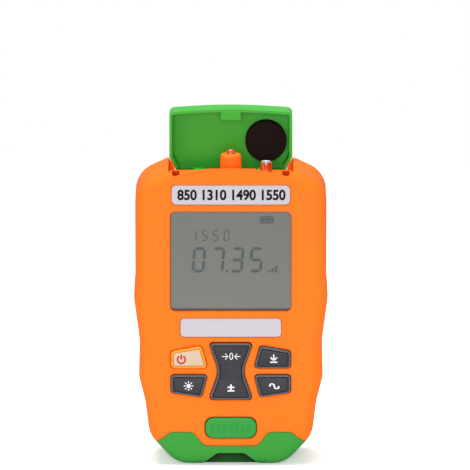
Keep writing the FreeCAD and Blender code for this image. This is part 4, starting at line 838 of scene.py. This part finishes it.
@dataclass
class Keypad:
    """Four corner keys and an hourglass rocker, with raised pads and printed signs.

    Attributes:
        face: The y of the casing's face, which the keys stand out of by proud.
        inner: The x of a corner key's inner side on its straight edge, and taper at its end.
    """

    face: float = -14.0
    proud: float = 0.86
    flange_deep: float = 2.1
    flange_wide: float = 0.8
    hollow_in: float = 1.2
    hollow_deep: float = 1.05
    bevel: float = 0.55
    bevel_rise: float = 0.33
    groove: float = 0.26
    groove_wall: float = 0.07
    groove_sunk: float = 0.16
    edge: float = 0.03
    corner: float = 1.2
    outer: float = 20.0
    inner: float = 7.8
    taper: float = 9.95
    rocker_rise: float = 32.5
    rocker_tall: float = 19.3
    rocker_half: float = 7.3
    rocker_waist: float = 3.8
    rocker_curve: float = 8.0
    rocker_back: float = 4.0
    bridge_tall: float = 4.9
    bridge_sunk: float = 0.22
    sun_radius: float = 0.72
    sun_rays: int = 8
    ray: Point = (0.98, 1.62)
    ray_wide: float = 0.34
    ray_corner: float = 0.05
    sun_sides: int = 32
    ray_steps: int = 2
    corner_steps: int = 5
    rocker_steps: int = 12
    keys: tuple[CornerKey, ...] = (
        CornerKey("power_key", UPPER, Side.LEFT, "power_key_rubber", CREAM),
        CornerKey("store_key", UPPER, Side.RIGHT),
        CornerKey("light_key", LOWER, Side.LEFT),
        CornerKey("wavelength_key", LOWER, Side.RIGHT))
    signs: tuple[Sign, ...] = (
        Sign("power_sign", "\u23fb", "power_key", (-16.6, 36.75), (3.15, 3.35), 0.035, RED_INK,
             "power_key_rubber"),
        Sign("store_sign", "\u2913", "store_key", (14.4, 37.0), (2.5, 2.9)),
        Sign("light_sign", "", "light_key", (-14.2, 27.6)),
        Sign("wavelength_sign", "\u223f", "wavelength_key", (14.6, 27.5), (3.5, 2.0)),
        Sign("zero_sign", "\u21920\u2190", "rocker_key", (0.15, 37.8), (6.2, 2.4), 0.0),
        Sign("range_sign", "\u00b1", "rocker_key", (0.05, 26.9), (2.3, 2.5)))

    def build(self) -> None:
        """Model the keys and print their signs."""
        for key in self.keys:
            self.corner_key(key)
        self.rocker()
        for sign in self.signs:
            if sign.words:
                piece = printed(sign.title, sign.words, sign.centre, sign.size,
                                self.face - self.proud, sign.weight)
            else:
                piece = self.sun(sign)
            seat(piece, sign.body, sign.slot, sign.finish)

    def outline(self, key: CornerKey) -> list[Triple]:
        """List the corners of a corner key.

        Args:
            key: The key.

        Returns:
            Corners (x, z, radius), turning left as the viewer sees them.
        """
        straight, outside, inside = key.rises
        side = key.side.value
        corners = [(side * self.outer, straight, self.corner),
                   (side * self.outer, outside, self.corner),
                   (side * self.taper, inside, self.corner),
                   (side * self.inner, straight, self.corner)]
        turns_left = (side > 0) == (outside > straight)
        return corners if turns_left else corners[::-1]

    def profile(self, piece: Object) -> None:
        """Give the front a rim painted as highlight, a groove painted as shade and a raised
        pad.

        Args:
            piece: The key, dressed with the finishes of its pad, rim and groove.
        """
        rings = ((1, self.bevel, -self.bevel_rise), (2, self.groove_wall, self.groove_sunk),
                 (2, self.groove, 0.0), (2, self.groove_wall, -self.groove_sunk))
        # Every face first takes the rim's finish, so the sides seen in the gap carry its
        # painted light.
        piece.active_material_index = 1
        pick(piece, Pick.FACES, any_face)
        bpy.ops.object.material_slot_assign()
        pick(piece, Pick.FACES, facing_front)
        for layer, wide, sink in rings:
            piece.active_material_index = layer
            bpy.ops.object.material_slot_assign()
            inset(wide, sink)
        piece.active_material_index = 0
        bpy.ops.object.material_slot_assign()
        put_down()

    def corner_key(self, key: CornerKey) -> None:
        """Model one corner key, with a flange behind the casing and a hollow for its dome.

        Args:
            key: The key.
        """
        start = self.face - self.proud + self.bevel_rise
        piece = plate(f"{key.node}_cap", self.outline(key), start,
                      self.face + self.flange_deep, self.corner_steps)
        dress(piece, *key.finishes)
        self.profile(piece)
        pick(piece, Pick.FACES, facing_back)
        extrude(0.0)
        wide = 1 + 2 * self.flange_wide / (self.outer - self.inner)
        tall = 1 + 2 * self.flange_wide / abs(key.rises[2] - key.rises[0])
        bpy.ops.transform.resize(value=(wide, 1.0, tall))
        extrude(self.flange_wide)
        inset(self.hollow_in, -self.hollow_deep)
        put_down()
        soften(piece, self.edge)
        seat(piece, key.node, key.slot, instead_of=(key.node,))

    def rocker(self) -> None:
        """Model the rocker: an hourglass with a low bridge across its pad."""
        low = self.rocker_rise - self.rocker_tall / 2
        high = self.rocker_rise + self.rocker_tall / 2
        corners = [(self.rocker_half, low, self.corner),
                   (self.rocker_waist, self.rocker_rise, self.rocker_curve),
                   (self.rocker_half, high, self.corner),
                   (-self.rocker_half, high, self.corner),
                   (-self.rocker_waist, self.rocker_rise, self.rocker_curve),
                   (-self.rocker_half, low, self.corner)]
        start = self.face - self.proud + self.bevel_rise
        piece = plate("rocker_key_cap", corners, start, self.face + self.rocker_back,
                      self.rocker_steps)
        dress(piece, *DARK)
        self.profile(piece)
        reach = self.bridge_tall / 2
        cut_level(piece, self.rocker_rise - reach)
        cut_level(piece, self.rocker_rise + reach)
        pick(piece, Pick.FACES, lambda mesh, face: facing_front(mesh, face)
             and abs(face.center.z - mm(self.rocker_rise)) < mm(reach))
        extrude(self.bridge_sunk)
        put_down()
        soften(piece, self.edge)
        seat(piece, "rocker_key", "dark_key_rubber", instead_of=("rocker_key",))

    def sun(self, sign: Sign) -> Object:
        """Print a lamp's sign: a disc with rays, each turned on from the last.

        Args:
            sign: The sign's name and place.

        Returns:
            The new mesh object.
        """
        front = self.face - self.proud - INK_PROUD
        put_down()
        bpy.ops.mesh.primitive_cylinder_add(
            vertices=self.sun_sides, radius=mm(self.sun_radius), depth=mm(INK_PROUD),
            rotation=TO_VIEWER, location=mm(0.0, front + INK_PROUD / 2, 0.0))
        pieces = [bpy.context.object]
        settle()
        near, far = self.ray
        corners = oblong(near, -self.ray_wide / 2, far - near, self.ray_wide, self.ray_corner)
        ray = plate("ray", corners, front, front + INK_PROUD, self.ray_steps)
        for step in range(self.sun_rays):
            twin = copy_of(ray, 0.0, 0.0)
            twin.rotation_euler = (0.0, step * 2 * math.pi / self.sun_rays, 0.0)
            pieces.append(twin)
        bpy.data.objects.remove(ray)
        whole = joined(sign.title, pieces)
        whole.location = mm(sign.centre[0], 0.0, sign.centre[1])
        take_up(whole)
        settle()
        return whole


# ---------------- display and plates
LIT = {"0": "abcdef", "1": "bc", "3": "abcdg", "5": "acdfg", "7": "abc"}
SEGMENT_PLACES = {"a": ("flat", 0, 2), "g": ("flat", 0, 1), "d": ("flat", 0, 0),
                  "f": ("upright", 0, 1), "b": ("upright", 1, 1),
                  "e": ("upright", 0, 0), "c": ("upright", 1, 0)}


@dataclass(frozen=True)
class Figures:
    """A row of seven-segment figures.

    Attributes:
        lefts: The x of each figure's lower left corner.
        low: Height of their foot.
        stroke: Width of a segment.
    """

    text: str
    lefts: tuple[float, ...]
    low: float
    wide: float
    tall: float
    stroke: float


@dataclass
class Display:
    """The display's film behind the window, and the segments that it shows.

    Attributes:
        split: Gap that keeps two boxes from sharing an edge.
    """

    glass: float = -12.75
    film: float = 0.03
    # height of the band along the film's foot that is painted as the frame's shadow
    shade_line: float = 0.62
    window: Four = (0.0, 70.15, 40.3, 33.8)
    corner: float = 1.55
    slant: float = 0.08
    gap: float = 0.1
    split: float = 0.01
    reading: Figures = Figures("0735", (-12.7, -6.3, 0.1, 6.5), 66.6, 3.4, 7.7, 1.0)
    wavelength: Figures = Figures("1550", (-13.25, -9.6, -5.95, -2.3), 77.1, 1.5, 3.4, 0.45)
    point: Four = (-1.75, 66.1, 0.85, 0.85)
    level: Point = (12.4, 66.1)
    level_pitch: float = 1.15
    level_wide: float = 0.75
    level_tall: Triple = (0.9, 1.6, 2.3)
    charge: Four = (9.7, 82.9, 4.4, 2.55)
    charge_line: float = 0.42
    charge_nub: Point = (0.4, 0.4)
    bar_in: Point = (0.6, 0.58)
    bar_pitch: float = 1.1
    bar_wide: float = 1.0
    bars: int = 3

    def build(self) -> None:
        """Model the film, the figures and the small signs."""
        self.lay_film()
        pieces = self.figures(self.reading)
        pieces.append(self.leaning("point", *self.point))
        pieces += self.figures(self.wavelength)
        x, z = self.level
        for step, tall in enumerate(self.level_tall):
            pieces.append(self.leaning("level", x + self.level_pitch * step, z,
                                       self.level_wide, tall))
        pieces += self.battery()
        seat(joined("readout", pieces), "casing", "panel_glass", SEGMENT)

    def shape(self, title: str, corners: list[Triple]) -> Object:
        """Model one thin shape on the display's film from its corners."""
        return plate(title, corners, self.glass - self.film, self.glass)

    def leaning(self, title: str, x: float, z: float, wide: float, tall: float) -> Object:
        """Model an upright bar that leans as the figures do.

        Args:
            title: The object's name.
            x: Its left side at the foot.
            z: Its foot.
            wide: Its width.
            tall: Its height.

        Returns:
            The bar.
        """
        return self.shape(title, oblong(x, z, wide, tall, lean=self.slant * tall))

    def battery(self) -> list[Object]:
        """Model the charge sign: a frame with a nub and bars, none of which touch.

        Returns:
            Its boxes.
        """
        x, z, wide, tall = self.charge
        line = self.charge_line
        nub_wide, nub_share = self.charge_nub
        nub = tall * nub_share
        side = tall - 2 * (line + self.split)
        foot = z + line + self.split
        boxes = [(x, z, wide, line), (x, z + tall - line, wide, line), (x, foot, line, side),
                 (x + wide - line, foot, line, side),
                 (x + wide + self.split, z + (tall - nub) / 2, nub_wide, nub)]
        across, up = self.bar_in
        boxes += [(x + across + self.bar_pitch * step, z + up, self.bar_wide, tall - 2 * up)
                  for step in range(self.bars)]
        return [self.shape("charge", oblong(*box)) for box in boxes]

    def figures(self, row: Figures) -> list[Object]:
        """Model a row of figures: each kind of segment is modelled once and copied.

        Args:
            row: The figures and their measures.

        Returns:
            The segments.
        """
        half, tip, run, wide = row.tall / 2, row.stroke / 2, self.gap, row.wide
        across = [(run, 0.0, 0.0), (run + tip, -tip, 0.0), (wide - run - tip, -tip, 0.0),
                  (wide - run, 0.0, 0.0), (wide - run - tip, tip, 0.0), (run + tip, tip, 0.0)]
        upright = [(self.slant * z + x, z, 0.0) for x, z in (
            (0.0, run), (tip, run + tip), (tip, half - run - tip), (0.0, half - run),
            (-tip, half - run - tip), (-tip, run + tip))]
        patterns = {"flat": self.shape("flat_segment", across),
                    "upright": self.shape("upright_segment", upright)}
        made = []
        for figure, left in zip(row.text, row.lefts):
            for name in LIT[figure]:
                kind, column, level = SEGMENT_PLACES[name]
                rise = level * half
                x = left + column * wide + self.slant * rise
                made.append(copy_of(patterns[kind], x, row.low + rise))
        for pattern in patterns.values():
            bpy.data.objects.remove(pattern)
        return made

    def lay_film(self) -> None:
        """Lay the display's film against the window, with a dark line painted along its foot as
        shadow.
        """
        x, z, wide, tall = self.window
        low = z - tall / 2
        corners = oblong(x - wide / 2, low, wide, tall, self.corner)
        piece = plate("display_film", corners, self.glass, self.glass + self.film)
        foot = low + self.shade_line
        cut_level(piece, foot)
        seat(piece, "casing", "panel_glass", PANEL, PAINTED_SHADOW_LINE)
        # Faces below the foot line take the painted shadow.
        for face in piece.data.polygons:
            face.material_index = int(face.center.z < mm(foot))


@dataclass
class Plates:
    """Figures printed on the title plate: the usual wavelengths in nanometres."""

    front: float = -13.85
    words: str = "850 1310 1490 1550"
    centre: Point = (0.2, 92.85)
    size: Point = (36.2, 3.7)
    weight: float = 0.034

    def build(self) -> None:
        """Print the figures."""
        figures = printed("title_figures", self.words, self.centre, self.size, self.front,
                          self.weight)
        seat(figures, "casing", "plate_film", BLACK_INK)


# ---------------- lid pad, button, latch
@dataclass
class LidPad:
    """Foam disc that covers the port when the lid is shut."""

    radius: float = 6.9
    crown: float = 0.18
    sides: int = 96
    rings: tuple[Point, ...] = ((0.35, -0.08), (1.2, -0.06), (2.4, -0.03), (1.6, -0.01))
    edge: float = 0.25
    edge_steps: int = 3

    def build(self) -> None:
        """Model the disc with a rolled edge and a slight crown."""
        low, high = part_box("lid_pad")
        middle = (low + high) / 2
        middle.y += mm(self.crown) / 2
        put_down()
        bpy.ops.mesh.primitive_cylinder_add(
            vertices=self.sides, radius=mm(self.radius),
            depth=high.y - low.y - mm(self.crown), location=middle, rotation=TO_VIEWER)
        piece = bpy.context.object
        piece.name = "foam_pad"
        settle()
        for width, rise in self.rings:
            pick(piece, Pick.FACES, facing_front)
            inset(width, rise)
        soften(piece, self.edge, self.edge_steps)
        seat(piece, "lid", "pad_foam", FOAM, instead_of=("lid_pad",))


@dataclass
class ButtonGrip:
    """Low ribs on the release button, where a thumb presses it."""

    front: float = -14.6
    rise: float = 13.0
    tall: float = 2.8
    wide: float = 1.0
    corner: float = 0.3
    edge: float = 0.08
    pitch: float = 2.02
    count: int = 7
    proud: float = 0.16
    root: float = 0.1
    steps: int = 4

    def build(self) -> None:
        """Model one rib and copy it."""
        corners = oblong(-self.wide / 2, -self.tall / 2, self.wide, self.tall, self.corner)
        rib = plate("grip_rib", corners, self.front - self.proud, self.front + self.root,
                    self.steps)
        soften(rib, self.edge)
        half = (self.count - 1) / 2
        ribs = [copy_of(rib, (step - half) * self.pitch, self.rise)
                for step in range(self.count)]
        bpy.data.objects.remove(rib)
        seat(joined("button_grip", ribs), "release_button", "green_abs", RIB_GREEN_PAINTED_SHADE)


@dataclass
class LatchSpring:
    """Leaf spring behind the release button: it gives way as the button goes in.

    Attributes:
        keep: Share of its depth that is left when the button is fully in; not used.
        still: Corner (y, z) of its root, which stays where it is; not used.
        profile: Corners (y, z) of its side.
    """

    half: float = 4.0
    keep: float = 0.66
    still: Point = (-7.5, 2.15)
    profile: tuple[Point, ...] = (
        (-11.1, 15.5), (-11.1, 8.3), (-10.4, 8.3), (-10.4, 6.0), (-7.9, 6.0), (-7.9, 2.15),
        (-7.5, 2.15), (-7.5, 6.3), (-9.9, 6.3), (-9.9, 8.7), (-10.7, 8.7), (-10.7, 15.5))
    edge: float = 0.04

    def build(self) -> None:
        """Model the bent strip from its side profile."""
        corners = [(depth, rise, 0.0) for depth, rise in self.profile]
        piece = plate("leaf_spring", corners, -self.half, self.half)
        piece.rotation_euler = (0.0, 0.0, math.pi / 2)
        take_up(piece)
        settle()
        soften(piece, self.edge)
        seat(piece, "cap", "spring_steel", SPRING, instead_of=("latch_spring",))
        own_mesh(piece)


# ---------------- studio
@dataclass(frozen=True)
class Lamp:
    """One square soft lamp: its name, place, side length and power in watts."""

    title: str
    spot: Triple
    size: float
    power: float


@dataclass
class Studio:
    """Floor, lamps, world and camera.

    Attributes:
        view_tall: Height of what the camera sees at the point that it aims at.
        room_light: Strength of the room's light on the meter; the camera sees 1.
    """

    distance: float = 3000.0
    view_tall: float = 157.26
    aim: Triple = (1.4, -14.0, 79.23)
    elevation: float = 12.0
    sight: float = 10000.0
    floor_size: float = 2400.0
    floor_drop: float = 0.05
    room_light: float = 0.45
    lamp_aim: Triple = (0.0, 0.0, 60.0)
    lamps: tuple[Lamp, ...] = (
        Lamp("key_lamp", (-5.0, -900.0, 266.0), 280.0, 3.6),
        Lamp("fill_lamp", (-300.0, -860.0, 260.0), 520.0, 1.1),
        Lamp("top_lamp", (-40.0, 20.0, 760.0), 420.0, 5.2))

    def build(self) -> None:
        """Add the floor, the lamps, the world and the camera."""
        self.add_floor()
        for lamp in self.lamps:
            self.add_lamp(lamp)
        self.light_world()
        self.add_camera()

    def add_floor(self) -> None:
        """Add a pale floor that keeps the shadow and fades into the white room."""
        put_down()
        bpy.ops.mesh.primitive_plane_add(size=mm(self.floor_size),
                                         location=(0, 0, mm(-self.floor_drop)))
        floor = bpy.context.object
        floor.name = "floor"
        dress(floor, SWEEP)

    def add_lamp(self, lamp: Lamp) -> None:
        """Add one square soft lamp that points at the meter.

        Args:
            lamp: The lamp.
        """
        light = bpy.data.lights.new(lamp.title, "AREA")
        light.shape = "SQUARE"
        light.size = mm(lamp.size)
        light.energy = lamp.power
        holder = bpy.data.objects.new(lamp.title, light)
        bpy.context.scene.collection.objects.link(holder)
        holder.location = mm(*lamp.spot)
        aim = Vector(mm(*self.lamp_aim)) - holder.location
        holder.rotation_euler = aim.to_track_quat("-Z", "Y").to_euler()

    def light_world(self) -> None:
        """Light the room evenly; the camera sees white."""
        world = bpy.data.worlds.new("studio")
        bpy.context.scene.world = world
        world.use_nodes = True
        tree = world.node_tree
        tree.nodes.clear()
        path = add_node(tree, "LightPath")
        strength = add_node(tree, "MapRange",
                            {"To Min": self.room_light, "To Max": 1.0},
                            {"Value": path.outputs["Is Camera Ray"]})
        glow = add_node(tree, "Background", {"Color": (1.0, 1.0, 1.0, 1.0)},
                        {"Strength": strength.outputs["Result"]})
        output = add_node(tree, "OutputWorld")
        tree.links.new(glow.outputs["Background"], output.inputs["Surface"])

    def add_camera(self) -> None:
        """Look at the meter's face from a little above, far enough to keep it flat."""
        lens = bpy.data.cameras.new("camera")
        lens.lens = lens.sensor_width * self.distance / self.view_tall
        lens.clip_end = mm(self.sight)
        holder = bpy.data.objects.new("camera", lens)
        bpy.context.scene.collection.objects.link(holder)
        tilt = math.radians(self.elevation)
        forward = Vector((0.0, math.cos(tilt), -math.sin(tilt)))
        holder.location = Vector(mm(*self.aim)) - forward * mm(self.distance)
        holder.rotation_euler = (math.pi / 2 - tilt, 0.0, 0.0)
        bpy.context.scene.camera = holder


def main() -> None:
    """Build every sub-assembly in order and report each."""
    logging.basicConfig(level=logging.INFO, format="%(message)s")
    for finish, nodes in NODE_FINISHES.items():
        for name in nodes:
            dress(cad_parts[name], finish)
            LOG.info("dressed %s", name)
    bpy.context.scene.view_settings.view_transform = "Standard"
    for assembly in (Keypad(), Display(), Plates(), LidPad(), ButtonGrip(), LatchSpring(),
                     Studio()):
        assembly.build()
        LOG.info("built %s", type(assembly).__name__)


if __name__ == "__main__":
    main()
